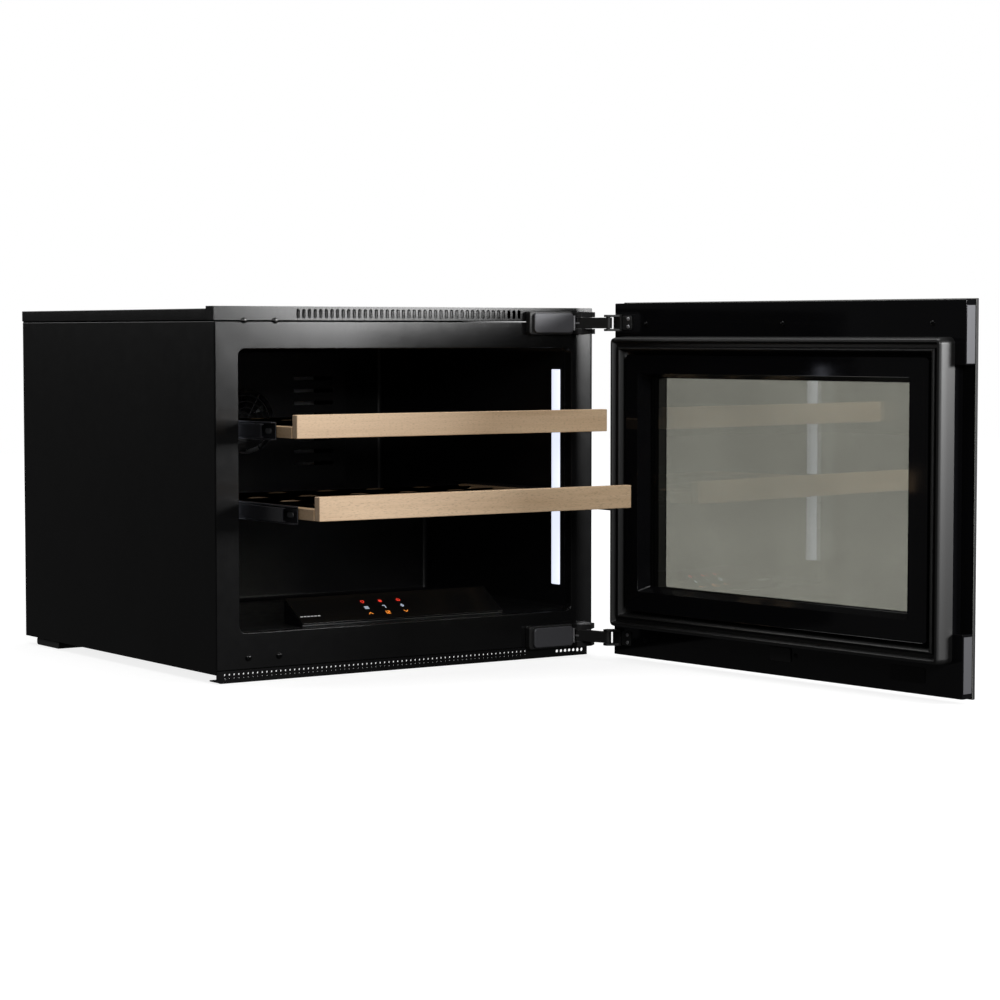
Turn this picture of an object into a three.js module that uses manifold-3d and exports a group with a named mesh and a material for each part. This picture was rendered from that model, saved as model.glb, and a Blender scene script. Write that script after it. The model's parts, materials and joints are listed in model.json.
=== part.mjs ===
// Built-in wine cooler for a 45 cm high niche: cabinet, glass door on double-pivot hinges and two slide-out shelves.
// Millimetres, +X to the right, +Y into the cabinet, +Z up. The door stands open and both shelves are drawn out.
// The origin is the middle of the plinth's underside, DATUM_SETBACK behind the front face.
import * as THREE from 'three';
import { mergeVertices } from 'three/addons/utils/BufferGeometryUtils.js';
import Module from 'manifold-3d';

// ---------- driving dimensions ----------
const GAP = 0.3; // left between faces that touch
const SHEET = 1.2; // casing steel
const HALF_WIDTH = 280.5; // cabinet, half of its width
const DEPTH = 543;
const HEIGHT = 455; // plinth underside to top of the vent trim
const LID_TOP = 452;
const BAND_BOTTOM = 438.2; // the lid's skirt and the vent trim end here
const CASE_TOP = 436.6; // side panels and front frame end here, below a shadow gap
const SIDE_BOTTOM = 10.5;
const PLINTH_TOP = 15;
const PLINTH_FLANGE = 30;
const DATUM_SETBACK = PLINTH_FLANGE / 2;

const FRAME_DEPTH = 14.7;
const CAVITY = { halfWidth: 247.2, bottom: 59.7, top: 403.4, back: 470, stepFront: 350, stepTop: 190, corner: 9 };
const LINER_WALL = 2;
const FOAM = { halfWidth: 266, front: 17, floor: 26, roof: 434, back: 538, compartmentFront: 386, compartmentRoof: 152 };

const DOOR = { width: 590, bottom: 4.8, height: 456.8, glass: 3.8, thickness: 21, gasketReach: 24.5, openDeg: 95.4 };
const DOOR_CORNER_OPEN = [275.8, -55.5]; // hinge-side inner corner with the door open
const WINDOW = { near: 80.5, far: 514.5, bottom: 98, top: 366 }; // distances from the hinge side, heights
const GRIP = { depth: 18, bottom: 80, top: 386 };

const ARM_PIVOT = [251.3, -15]; // pin between cabinet bracket and arm
const DOOR_PIVOT_LOCAL = [0.1, 11]; // pin between arm and door, from the door's hinge-side inner corner
const ARM_HEIGHT = 14;
const ARM_HALF_WIDTH = 6.5;
const PIN_RADIUS = 2.8;
const PIN_HOLE = 3.2;
const HINGE_MIDDLES = { upper: 435.5, lower: 28 };
const BRACKET_HALF_HEIGHT = 14.2;
const BRACKET = { left: 243.6, right: 276.5, plate: 3, noseLeft: 247, noseRight: 264 }; // on the front frame
const DOOR_BRACKET = { reach: 15, halfHeight: 10.5 };
const HINGE_BOX = { left: 174, right: 242.8, depth: 9.7, halfHeight: 14.8 }; // hides the hinge's inner links
const HINGE_LID = { left: 179, right: 240.8, depth: 14, halfHeight: 12.6 };

const SHELF = { halfWidth: 227.5, boardThickness: 11, boardHome: 30, rackBack: 405, sideWidth: 14, sideHeight: 13.7 };
const SHELVES = {
  upper: { bottom: 298, boardTop: 326, railMiddle: 305.8, out: 135 },
  lower: { bottom: 203, boardTop: 231.7, railMiddle: 208, out: 186 },
};
const RAIL_HEIGHT = 21.5;
const LED = { front: 21, back: 43, bottom: 89, top: 378, thickness: 3.6 };
const CONTROL = { halfWidth: 150, front: 17, back: 62, low: 62, high: 90, glass: 2 };
const DUCT = { halfWidth: 160, front: 425, bottom: 196, top: 396, fanHeight: 300, fanRadius: 46 };

const FINISH = {
  blackSteel: { color: 0x161617, roughness: 0.55, metalness: 0.2 },
  blackPlastic: { color: 0x111112, roughness: 0.5, metalness: 0 },
  glossBlack: { color: 0x060607, roughness: 0.12, metalness: 0 },
  satinGrey: { color: 0x53555a, roughness: 0.35, metalness: 0.4 },
  darkSteel: { color: 0x2a2a2c, roughness: 0.4, metalness: 0.7 },
  brightSteel: { color: 0xb8b9bc, roughness: 0.3, metalness: 0.9 },
  beech: { color: 0xc9a97f, roughness: 0.6, metalness: 0 },
  tintedGlass: { color: 0x767a72, roughness: 0.05, metalness: 0 },
  rubber: { color: 0x0d0d0e, roughness: 0.7, metalness: 0 },
  led: { color: 0xe8ecff, roughness: 0.4, metalness: 0 },
  foam: { color: 0xd8cda4, roughness: 0.9, metalness: 0 },
  aluminium: { color: 0xa9adb2, roughness: 0.4, metalness: 0.8 },
  compressorBlack: { color: 0x1a1b1d, roughness: 0.5, metalness: 0.5 },
};

// ---------- geometry helpers ----------
const wasm = await Module();
wasm.setup();

/** A closed BufferGeometry as a solid that can be cut and joined. */
function toSolid(geometry) {
  const bare = geometry.clone();
  bare.deleteAttribute('normal');
  bare.deleteAttribute('uv');
  const merged = mergeVertices(bare, 1e-4);
  return new wasm.Manifold(new wasm.Mesh({
    numProp: 3,
    vertProperties: new Float32Array(merged.attributes.position.array),
    triVerts: new Uint32Array(merged.index.array),
  }));
}

/** A solid back as a BufferGeometry. */
function fromSolid(solid) {
  const mesh = solid.getMesh();
  const geometry = new THREE.BufferGeometry();
  geometry.setAttribute('position', new THREE.BufferAttribute(new Float32Array(mesh.vertProperties), 3));
  geometry.setIndex(new THREE.BufferAttribute(new Uint32Array(mesh.triVerts), 1));
  geometry.computeVertexNormals();
  return geometry;
}

function cut(base, ...tools) {
  return fromSolid(tools.reduce((solid, tool) => solid.subtract(toSolid(tool)), toSolid(base)));
}

function join(base, ...others) {
  return fromSolid(others.reduce((solid, other) => solid.add(toSolid(other)), toSolid(base)));
}

function block(x0, x1, y0, y1, z0, z1) {
  const geometry = new THREE.BoxGeometry(x1 - x0, y1 - y0, z1 - z0);
  geometry.translate((x0 + x1) / 2, (y0 + y1) / 2, (z0 + z1) / 2);
  return geometry;
}

function outline(points) {
  return new THREE.Shape(points.map(([u, v]) => new THREE.Vector2(u, v)));
}

/** Rectangle with round corners, as a Shape or, for a hole, a Path. */
function roundedRectangle(u0, u1, v0, v1, radius, Kind = THREE.Shape) {
  const path = new Kind();
  path.moveTo(u0 + radius, v0);
  path.lineTo(u1 - radius, v0);
  path.absarc(u1 - radius, v0 + radius, radius, -Math.PI / 2, 0, false);
  path.lineTo(u1, v1 - radius);
  path.absarc(u1 - radius, v1 - radius, radius, 0, Math.PI / 2, false);
  path.lineTo(u0 + radius, v1);
  path.absarc(u0 + radius, v1 - radius, radius, Math.PI / 2, Math.PI, false);
  path.lineTo(u0, v0 + radius);
  path.absarc(u0 + radius, v0 + radius, radius, Math.PI, Math.PI * 1.5, false);
  return path;
}

function roundHole(u, v, radius) {
  const path = new THREE.Path();
  path.absarc(u, v, radius, 0, Math.PI * 2, false);
  return path;
}

function prism(shape, length, curveSegments) {
  return new THREE.ExtrudeGeometry(shape, { depth: length, bevelEnabled: false, curveSegments });
}

/** Outline in X and Z, from y0 to y1. */
function alongY(shape, y0, y1, curveSegments = 4) {
  const geometry = prism(shape, y1 - y0, curveSegments);
  geometry.rotateX(Math.PI / 2);
  geometry.translate(0, y1, 0);
  return geometry;
}

/** Outline in Y and Z, from x0 to x1. */
function alongX(shape, x0, x1, curveSegments = 4) {
  const geometry = prism(shape, x1 - x0, curveSegments);
  const axes = [new THREE.Vector3(0, 1, 0), new THREE.Vector3(0, 0, 1), new THREE.Vector3(1, 0, 0)];
  geometry.applyMatrix4(new THREE.Matrix4().makeBasis(...axes));
  geometry.translate(x0, 0, 0);
  return geometry;
}

/** Outline in X and Y, from z0 to z1. */
function alongZ(shape, z0, z1, curveSegments = 4) {
  const geometry = prism(shape, z1 - z0, curveSegments);
  geometry.translate(0, 0, z0);
  return geometry;
}

function cylinderZ(x, y, z0, z1, radius, sides = 12) {
  const geometry = new THREE.CylinderGeometry(radius, radius, z1 - z0, sides);
  geometry.rotateX(Math.PI / 2);
  geometry.translate(x, y, (z0 + z1) / 2);
  return geometry;
}

function cylinderY(x, z, y0, y1, radius, sides = 16) {
  const geometry = new THREE.CylinderGeometry(radius, radius, y1 - y0, sides);
  geometry.translate(x, (y0 + y1) / 2, z);
  return geometry;
}

function piece(name, geometry, finish) {
  const mesh = new THREE.Mesh(geometry, new THREE.MeshStandardMaterial(FINISH[finish]));
  mesh.name = name;
  return mesh;
}

// ---------- casing ----------
/** Folded side sheet with a return flange behind the front frame and one at the rear. */
function sidePanel(side) {
  const outer = HALF_WIDTH;
  const inner = HALF_WIDTH - SHEET;
  const flange = FOAM.halfWidth + 1;
  const front = FRAME_DEPTH + 0.5;
  const rear = DEPTH - 2;
  const section = [
    [outer, 0], [inner, 0], [inner, front], [flange, front], [flange, front + SHEET], [inner, front + SHEET],
    [inner, rear - SHEET], [flange, rear - SHEET], [flange, rear], [outer, rear],
  ];
  return alongZ(outline(section.map(([x, y]) => [x * side, y])), SIDE_BOTTOM, CASE_TOP);
}

function topPanel() {
  const inner = HALF_WIDTH - SHEET;
  const section = [
    [-HALF_WIDTH, BAND_BOTTOM], [-HALF_WIDTH, LID_TOP], [HALF_WIDTH, LID_TOP], [HALF_WIDTH, BAND_BOTTOM],
    [inner, BAND_BOTTOM], [inner, LID_TOP - SHEET], [-inner, LID_TOP - SHEET], [-inner, BAND_BOTTOM],
  ];
  return alongY(outline(section), 20.5, DEPTH);
}

function basePan() {
  const outer = HALF_WIDTH - SHEET - 0.4;
  const inner = outer - SHEET;
  const floor = SIDE_BOTTOM + SHEET;
  const rim = 24;
  const section = [
    [-outer, SIDE_BOTTOM], [outer, SIDE_BOTTOM], [outer, rim], [inner, rim],
    [inner, floor], [-inner, floor], [-inner, rim], [-outer, rim],
  ];
  return alongY(outline(section), FOAM.front + 0.5, DEPTH - 4);
}

const REAR_SPLIT = 182;
function rearPanel() {
  const half = HALF_WIDTH - SHEET - GAP;
  return block(-half, half, DEPTH - 1.4, DEPTH - 0.2, REAR_SPLIT + 1, LID_TOP - SHEET - GAP);
}

const INLET = { x: 225, bottom: 28, top: 48, halfWidth: 15 };
/** Lower rear cover with two rows of vent slots and a cut-out for the mains inlet. */
function rearGrille() {
  const half = FOAM.halfWidth;
  const [front, back] = [DEPTH - 1.4, DEPTH - 0.2];
  const opening = (x, halfWidth, low, high) => block(x - halfWidth, x + halfWidth, front - 1, back + 1, low, high);
  const openings = [opening(INLET.x, INLET.halfWidth, INLET.bottom, INLET.top)];
  const columns = 14;
  for (let column = 0; column < columns; column += 1) {
    const x = (column - (columns - 1) / 2) * 26;
    openings.push(opening(x, 3, 52, 95), opening(x, 3, 112, 157));
  }
  return cut(block(-half, half, front, back, 25, REAR_SPLIT), ...openings);
}

function frontFrame() {
  const half = HALF_WIDTH - SHEET - GAP;
  const face = outline([[-half, PLINTH_TOP + 0.4], [half, PLINTH_TOP + 0.4], [half, CASE_TOP], [-half, CASE_TOP]]);
  const { halfWidth, bottom, top, corner } = CAVITY;
  face.holes.push(roundedRectangle(-halfWidth, halfWidth, bottom, top, corner, THREE.Path));
  return alongY(face, 0, FRAME_DEPTH);
}

const VENT = { pitch: 8, count: 42, halfWidth: 2.4, bottom: 440.7, top: 451.8 };
/** Hollow strip over the front frame, open underneath, with a row of upright slots in its face. */
function topVentTrim() {
  const shell = block(-HALF_WIDTH, HALF_WIDTH, 0, 20, BAND_BOTTOM, HEIGHT);
  const hollow = block(-HALF_WIDTH + 2, HALF_WIDTH - 2, 2, 18, BAND_BOTTOM - 1, HEIGHT - 2);
  const slots = [];
  const { pitch, count, halfWidth, bottom, top } = VENT;
  const shoulder = halfWidth / 2;
  for (let i = 0; i < count; i += 1) {
    const x = (i - (count - 1) / 2) * pitch;
    slots.push(alongY(outline([
      [x - shoulder, bottom], [x + shoulder, bottom], [x + halfWidth, bottom + shoulder],
      [x + halfWidth, top - shoulder], [x + shoulder, top], [x - shoulder, top],
      [x - halfWidth, top - shoulder], [x - halfWidth, bottom + shoulder],
    ]), -1, 3));
  }
  const solid = slots.reduce((rest, slot) => rest.subtract(toSolid(slot)), toSolid(shell).subtract(toSolid(hollow)));
  return fromSolid(solid);
}

/** Angle strip that closes the base: its flange is what the cabinet stands on. */
function plinthGrille() {
  const left = -HALF_WIDTH + SHEET + GAP;
  const right = 273;
  const face = new THREE.Shape();
  face.moveTo(left + 6, 0);
  face.lineTo(right, 0);
  face.lineTo(right, PLINTH_TOP);
  face.lineTo(left, PLINTH_TOP);
  face.lineTo(left, 6);
  face.absarc(left + 6, 6, 6, Math.PI, Math.PI * 1.5, false);
  for (let i = 0; i < 7; i += 1) {
    face.holes.push(roundHole(225 + i * 6.63, 7, 2.5));
  }
  const flange = block(left + 6, right, 1, PLINTH_FLANGE, 0, 1.5);
  return join(alongY(face, 0, 2, 4), flange);
}

// ---------- cold cavity ----------
/** Side outline of the cavity: a step at the lower rear makes room for the compressor. */
function cavityOutline(front, grow) {
  const { bottom, top, back, stepFront, stepTop } = CAVITY;
  return outline([
    [front, bottom - grow], [stepFront + grow, bottom - grow], [stepFront + grow, stepTop - grow],
    [back + grow, stepTop - grow], [back + grow, top + grow], [front, top + grow],
  ]);
}

function innerLiner() {
  const half = CAVITY.halfWidth;
  const outer = alongX(cavityOutline(FRAME_DEPTH + GAP, LINER_WALL), -half - LINER_WALL, half + LINER_WALL);
  return cut(outer, alongX(cavityOutline(0, 0), -half, half));
}

function insulation() {
  const { halfWidth, front, floor, roof, back, compartmentFront, compartmentRoof } = FOAM;
  const outer = alongX(outline([
    [front, floor], [compartmentFront, floor], [compartmentFront, compartmentRoof],
    [back, compartmentRoof], [back, roof], [front, roof],
  ]), -halfWidth, halfWidth);
  const grow = LINER_WALL + GAP;
  const half = CAVITY.halfWidth + grow;
  return cut(outer, alongX(cavityOutline(0, grow), -half, half));
}

/** Cover in front of the evaporator: open at the back, with a fan opening and air slots. */
function ductCover() {
  const { halfWidth, front, bottom, top, fanHeight, fanRadius } = DUCT;
  const back = CAVITY.back - GAP;
  const shell = block(-halfWidth, halfWidth, front, back, bottom, top);
  const hollow = block(-halfWidth + 2, halfWidth - 2, front + 2, back + 1, bottom + 2, top - 2);
  const tools = [hollow, cylinderY(0, fanHeight, front - 1, front + 3, fanRadius, 24)];
  for (const side of [-1, 1]) {
    for (let i = 0; i < 8; i += 1) {
      const z = 240 + i * 17;
      tools.push(block(side * 108 - 32, side * 108 + 32, front - 1, front + 3, z - 2.5, z + 2.5));
    }
  }
  return cut(shell, ...tools);
}

function evaporatorPlate() {
  const back = CAVITY.back - 5;
  return block(-130, 130, back - 4, back, DUCT.bottom + 16, DUCT.top - 16);
}

function ledStrip(side) {
  const wall = CAVITY.halfWidth - GAP;
  const x = [side * wall, side * (wall - LED.thickness)].sort((a, b) => a - b);
  const face = roundedRectangle(LED.front, LED.back, LED.bottom, LED.top, 3);
  return alongX(face, x[0], x[1], 2);
}

function controlHousing() {
  const { halfWidth, front, back, low, high } = CONTROL;
  const floor = CAVITY.bottom + GAP;
  return alongX(outline([[front, floor], [back, floor], [back, high], [front, low]]), -halfWidth, halfWidth);
}

function controlGlass() {
  const { halfWidth, front, back, low, high, glass } = CONTROL;
  const slope = [back - front, high - low];
  const length = Math.hypot(...slope);
  const across = [-slope[1] / length, slope[0] / length];
  const offset = (point, amount) => [point[0] + across[0] * amount, point[1] + across[1] * amount];
  const section = [
    offset([front, low], GAP), offset([back, high], GAP), offset([back, high], GAP + glass),
    offset([front, low], GAP + glass),
  ];
  return alongX(outline(section), -halfWidth, halfWidth);
}

// ---------- fans ----------
/** Axial fan wheel on a Y axis, hub and pitched blades in one piece. */
function fanWheel({ x, y, z, hub, tip, blades }) {
  const hubLength = 14;
  const root = 4; // how deep a blade sits in the hub
  const pitch = 0.55;
  let solid = toSolid(new THREE.CylinderGeometry(hub, hub, hubLength, 16));
  for (let i = 0; i < blades; i += 1) {
    const reach = tip - hub + root;
    const blade = new THREE.BoxGeometry(reach, 1.6, hub * 1.1);
    blade.rotateX(pitch);
    blade.translate(hub - root + reach / 2, 0, 0);
    blade.rotateY((i / blades) * Math.PI * 2);
    solid = solid.add(toSolid(blade));
  }
  const wheel = fromSolid(solid);
  wheel.translate(x, y, z);
  return wheel;
}


// ---------- compressor compartment ----------
const COMPRESSOR = { x: -170, y: 466, radius: 52, bottom: 14, top: 140 };
const CONDENSER = { left: -40, right: 90, front: 396, back: 436, bottom: 16, top: 140 };
const CONDENSER_FAN = {
  x: 25, y: 458, z: 80, hub: 18, tip: 44, blades: 5, frameFront: 446, frameBack: 470, half: 52, opening: 49,
};
const TRAY = { left: -112, right: -52, front: 400, back: 530, bottom: 14, top: 34, wall: 2 };
const POWER_BOX = { left: 150, right: 196, front: 400, back: 520, bottom: 16, top: 96 };

function compressorCan() {
  const { x, y, radius, bottom, top } = COMPRESSOR;
  const height = top - bottom;
  const profile = [
    [0, 0], [radius * 0.8, 0], [radius, 14], [radius, height * 0.45], [radius + 3, height * 0.45],
    [radius + 3, height * 0.5], [radius, height * 0.5], [radius, height - 26], [radius * 0.75, height - 7],
    [radius * 0.35, height], [0, height],
  ];
  const can = new THREE.LatheGeometry(profile.map(([r, h]) => new THREE.Vector2(r, h)), 20);
  can.rotateX(Math.PI / 2);
  can.translate(x, y, bottom);
  return can;
}

/** Finned block: a comb of fins on a solid tube plate. */
function condenserBlock() {
  const { left, right, front, back, bottom, top } = CONDENSER;
  const points = [[left, back], [left, front]];
  const fins = 13;
  const pitch = (right - left) / (fins - 0.5);
  for (let i = 0; i < fins; i += 1) {
    const start = left + i * pitch;
    points.push([start + pitch / 2, front]);
    if (i < fins - 1) {
      points.push([start + pitch / 2, back - 12], [start + pitch, back - 12], [start + pitch, front]);
    }
  }
  points.push([right, back]);
  return alongZ(outline(points), bottom, top);
}

function condenserFanFrame() {
  const { x, z, half, opening, frameFront, frameBack } = CONDENSER_FAN;
  const square = roundedRectangle(x - half, x + half, z - half, z + half, 6);
  square.holes.push(roundHole(x, z, opening));
  return alongY(square, frameFront, frameBack, 6);
}

function dripTray() {
  const { left, right, front, back, bottom, top, wall } = TRAY;
  return cut(
    block(left, right, front, back, bottom, top),
    block(left + wall, right - wall, front + wall, back - wall, bottom + wall, top + 1),
  );
}

function powerBox() {
  const { left, right, front, back, bottom, top } = POWER_BOX;
  return block(left, right, front, back, bottom, top);
}

function mainsInlet() {
  const half = INLET.halfWidth - 0.5;
  return block(INLET.x - half, INLET.x + half, POWER_BOX.back, DEPTH, INLET.bottom + 0.5, INLET.top - 0.5);
}

// ---------- hinges ----------
function hingeHousing(middle) {
  const { left, right, depth, halfHeight } = HINGE_BOX;
  return alongY(roundedRectangle(left, right, middle - halfHeight, middle + halfHeight, 3.5), -depth, -GAP);
}

function hingeCover(middle) {
  const { left, right, depth, halfHeight } = HINGE_LID;
  const shape = roundedRectangle(left, right, middle - halfHeight, middle + halfHeight, 5);
  return alongY(shape, -depth, -HINGE_BOX.depth - GAP);
}

/** Bracket bolted to the front frame: a back plate and two ears with a pin hole. */
function hingeBracket(middle) {
  const [x, y] = ARM_PIVOT;
  const { left, right, noseLeft, noseRight } = BRACKET;
  const ear = outline([
    [left, -GAP], [left, y - 4], [noseLeft, y - 7.5], [noseRight, y - 7.5], [right, y + 3], [right, -GAP],
  ]);
  ear.holes.push(roundHole(x, y, PIN_HOLE));
  const clear = ARM_HEIGHT / 2 + 0.6;
  const reach = BRACKET_HALF_HEIGHT;
  const plate = block(left, right, -BRACKET.plate, -GAP, middle - reach, middle + reach);
  return join(
    plate,
    alongZ(ear, middle + clear, middle + reach, 6),
    alongZ(ear, middle - reach, middle - clear, 6),
  );
}

function hingePin(middle) {
  const [x, y] = ARM_PIVOT;
  const reach = BRACKET_HALF_HEIGHT;
  return join(
    cylinderZ(x, y, middle - reach, middle + reach + 0.6, PIN_RADIUS),
    cylinderZ(x, y, middle + reach + GAP, middle + reach + 1.2, PIN_RADIUS + 2),
  );
}

/** Flat link between the two pins, round at both ends. */
function hingeArm(middle, start, end) {
  const angle = Math.atan2(end[1] - start[1], end[0] - start[0]);
  const link = new THREE.Shape();
  link.absarc(start[0], start[1], ARM_HALF_WIDTH, angle + Math.PI / 2, angle + Math.PI * 1.5, false);
  link.absarc(end[0], end[1], ARM_HALF_WIDTH - 1.5, angle - Math.PI / 2, angle + Math.PI / 2, false);
  link.holes.push(roundHole(...start, PIN_HOLE), roundHole(...end, PIN_HOLE));
  return alongZ(link, middle - ARM_HEIGHT / 2, middle + ARM_HEIGHT / 2, 5);
}

/** Bracket on the door with its pin welded in, in door coordinates. */
function doorBracket(middle) {
  const [x, y] = DOOR_PIVOT_LOCAL;
  const { reach, halfHeight } = DOOR_BRACKET;
  const ear = outline([
    [x - reach, GAP], [-1, GAP], [x + 5, y - 3], [x + 5, y + 3], [x + 2, y + 5.2], [x - 4, y + 5.2],
  ]);
  const clear = ARM_HEIGHT / 2 + 0.6;
  const plate = block(x - reach, -1, GAP, 3, middle - halfHeight, middle + halfHeight);
  return join(
    plate,
    alongZ(ear, middle + clear, middle + halfHeight),
    alongZ(ear, middle - halfHeight, middle - clear),
    cylinderZ(x, y, middle - halfHeight + 0.5, middle + halfHeight - 0.5, PIN_RADIUS),
  );
}

// ---------- door, in its own coordinates: origin at the hinge-side inner corner, -X towards the free edge ----------
const doorTop = DOOR.bottom + DOOR.height;

function doorOuterGlass() {
  return block(-DOOR.width, 0, -DOOR.thickness, -DOOR.thickness + DOOR.glass, DOOR.bottom, doorTop);
}

const SASH_MARGIN = 12.5; // how far the inner pane reaches under the plug frame
/** Frame behind the glass, cut away at the free edge for the fingers. */
function doorFrame() {
  const { width, bottom, thickness, glass } = DOOR;
  const ring = outline([
    [-width + 0.6, bottom + 1], [-0.8, bottom + 1], [-0.8, doorTop - 1], [-width + 0.6, doorTop - 1],
    [-width + 0.6, GRIP.top], [-width + GRIP.depth, GRIP.top], [-width + GRIP.depth, GRIP.bottom],
    [-width + 0.6, GRIP.bottom],
  ]);
  const near = -(WINDOW.near - SASH_MARGIN);
  const far = -(WINDOW.far + SASH_MARGIN);
  ring.holes.push(new THREE.Path([
    [far, WINDOW.bottom - SASH_MARGIN], [near, WINDOW.bottom - SASH_MARGIN],
    [near, WINDOW.top + SASH_MARGIN], [far, WINDOW.top + SASH_MARGIN],
  ].map(([x, z]) => new THREE.Vector2(x, z))));
  return alongY(ring, -thickness + glass + GAP, 0);
}

function doorInnerGlass() {
  const reach = SASH_MARGIN - 0.4;
  return block(
    -(WINDOW.far + reach), -(WINDOW.near - reach), -4.5, -0.5, WINDOW.bottom - reach, WINDOW.top + reach,
  );
}

const PLUG = { near: 40, far: 550, bottom: 68, top: 394, depth: 17 };
const GASKET = { near: 16, far: 574, bottom: 44, top: 418 };
/** Moulded frame inside the gasket: it holds the inner pane and leaves the window open. */
function doorPlugFrame() {
  const shape = roundedRectangle(-PLUG.far, -PLUG.near, PLUG.bottom, PLUG.top, 6);
  shape.holes.push(roundedRectangle(-WINDOW.far, -WINDOW.near, WINDOW.bottom, WINDOW.top, 2, THREE.Path));
  return alongY(shape, GAP, PLUG.depth, 3);
}

function doorGasket() {
  const shape = roundedRectangle(-GASKET.far, -GASKET.near, GASKET.bottom, GASKET.top, 8);
  const { near, far, bottom, top } = PLUG;
  shape.holes.push(roundedRectangle(-far - 1, -near + 1, bottom - 1, top + 1, 7, THREE.Path));
  return alongY(shape, GAP, DOOR.gasketReach, 3);
}

// ---------- shelves and their slides ----------
/** Channel section between two x values, open on the side of x1. */
function channel(x0, x1, middle, height, wall, y0, y1) {
  const low = middle - height / 2;
  const high = middle + height / 2;
  const web = x0 + Math.sign(x1 - x0) * wall;
  const section = [
    [x0, low], [x1, low], [x1, low + wall], [web, low + wall],
    [web, high - wall], [x1, high - wall], [x1, high], [x0, high],
  ];
  return alongY(outline(section), y0, y1);
}

function fixedRail(side, shelf) {
  return channel(side * 246.9, side * 241.9, shelf.railMiddle, RAIL_HEIGHT, 1.2, 60, 412);
}

function middleRail(side, shelf) {
  return channel(side * 241.3, side * 237.2, shelf.railMiddle, RAIL_HEIGHT - 5, 1.2, 92 - shelf.out, 408 - shelf.out);
}

function shelfRail(side, shelf) {
  return channel(side * 228.8, side * 236.6, shelf.railMiddle, RAIL_HEIGHT, 1.4, 76 - shelf.out, 405 - shelf.out);
}

function shelfBoard(shelf) {
  const front = SHELF.boardHome - shelf.out;
  return block(-SHELF.halfWidth, SHELF.halfWidth, front, front + SHELF.boardThickness, shelf.bottom, shelf.boardTop);
}

/** Two side bars joined by five cross bars that carry the bottles. */
function shelfRack(shelf) {
  const front = SHELF.boardHome + SHELF.boardThickness + GAP - shelf.out;
  const back = SHELF.rackBack - shelf.out;
  const top = shelf.bottom + SHELF.sideHeight;
  const outer = SHELF.halfWidth + 0.9;
  const inner = outer - SHELF.sideWidth;
  const bars = [block(inner, outer, front, back, shelf.bottom, top)];
  const barCount = 5;
  for (let i = 0; i < barCount; i += 1) {
    const y = front + 18 + (i / (barCount - 1)) * (back - front - 36);
    bars.push(block(-inner - 2, inner + 2, y - 14, y + 14, shelf.bottom + 2, top - 1.5));
  }
  return join(block(-outer, -inner, front, back, shelf.bottom, top), ...bars);
}

// ---------- assembly ----------
const cooler = new THREE.Group();
const cabinet = new THREE.Group();
const doorGroup = new THREE.Group();
cooler.position.y = -DATUM_SETBACK;
cooler.add(cabinet, doorGroup);

cabinet.add(
  piece('side_panel_left', sidePanel(-1), 'blackSteel'),
  piece('side_panel_right', sidePanel(1), 'blackSteel'),
  piece('top_panel', topPanel(), 'blackSteel'),
  piece('base_pan', basePan(), 'darkSteel'),
  piece('rear_panel', rearPanel(), 'blackSteel'),
  piece('rear_grille', rearGrille(), 'blackSteel'),
  piece('front_frame', frontFrame(), 'blackSteel'),
  piece('top_vent_trim', topVentTrim(), 'blackSteel'),
  piece('plinth_grille', plinthGrille(), 'blackSteel'),
  piece('inner_liner', innerLiner(), 'blackPlastic'),
  piece('insulation_foam', insulation(), 'foam'),
  piece('air_duct_cover', ductCover(), 'blackPlastic'),
  piece('evaporator_plate', evaporatorPlate(), 'aluminium'),
  piece('circulation_fan', fanWheel({ x: 0, y: 442, z: DUCT.fanHeight, hub: 16, tip: 42, blades: 7 }), 'blackPlastic'),
  piece('control_housing', controlHousing(), 'blackPlastic'),
  piece('control_glass', controlGlass(), 'glossBlack'),
  piece('compressor', compressorCan(), 'compressorBlack'),
  piece('condenser', condenserBlock(), 'aluminium'),
  piece('drip_tray', dripTray(), 'blackPlastic'),
  piece('power_box', powerBox(), 'blackPlastic'),
  piece('mains_inlet', mainsInlet(), 'blackPlastic'),
);
cabinet.add(
  piece('condenser_fan_frame', condenserFanFrame(), 'blackPlastic'),
  piece('condenser_fan', fanWheel(CONDENSER_FAN), 'blackPlastic'),
);
for (const [where, side] of [['left', -1], ['right', 1]]) {
  const x = [side * 276, side * 240].sort((a, b) => a - b);
  cabinet.add(
    piece(`led_strip_${where}`, ledStrip(side), 'led'),
    piece(`rear_foot_${where}`, alongX(roundedRectangle(446, 516, 0, SIDE_BOTTOM - GAP, 4), x[0], x[1], 2), 'rubber'),
  );
}

const turn = THREE.MathUtils.degToRad(DOOR.openDeg);
const doorPivot = new THREE.Vector2(...DOOR_PIVOT_LOCAL).rotateAround(new THREE.Vector2(), turn)
  .add(new THREE.Vector2(...DOOR_CORNER_OPEN));

for (const [level, middle] of Object.entries(HINGE_MIDDLES)) {
  cabinet.add(
    piece(`hinge_housing_${level}`, hingeHousing(middle), 'blackPlastic'),
    piece(`hinge_cover_${level}`, hingeCover(middle), 'satinGrey'),
    piece(`hinge_bracket_${level}`, hingeBracket(middle), 'darkSteel'),
    piece(`hinge_pin_${level}`, hingePin(middle), 'brightSteel'),
    piece(`hinge_arm_${level}`, hingeArm(middle, ARM_PIVOT, doorPivot.toArray()), 'darkSteel'),
  );
  doorGroup.add(piece(`door_bracket_${level}`, doorBracket(middle), 'darkSteel'));
}

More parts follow.
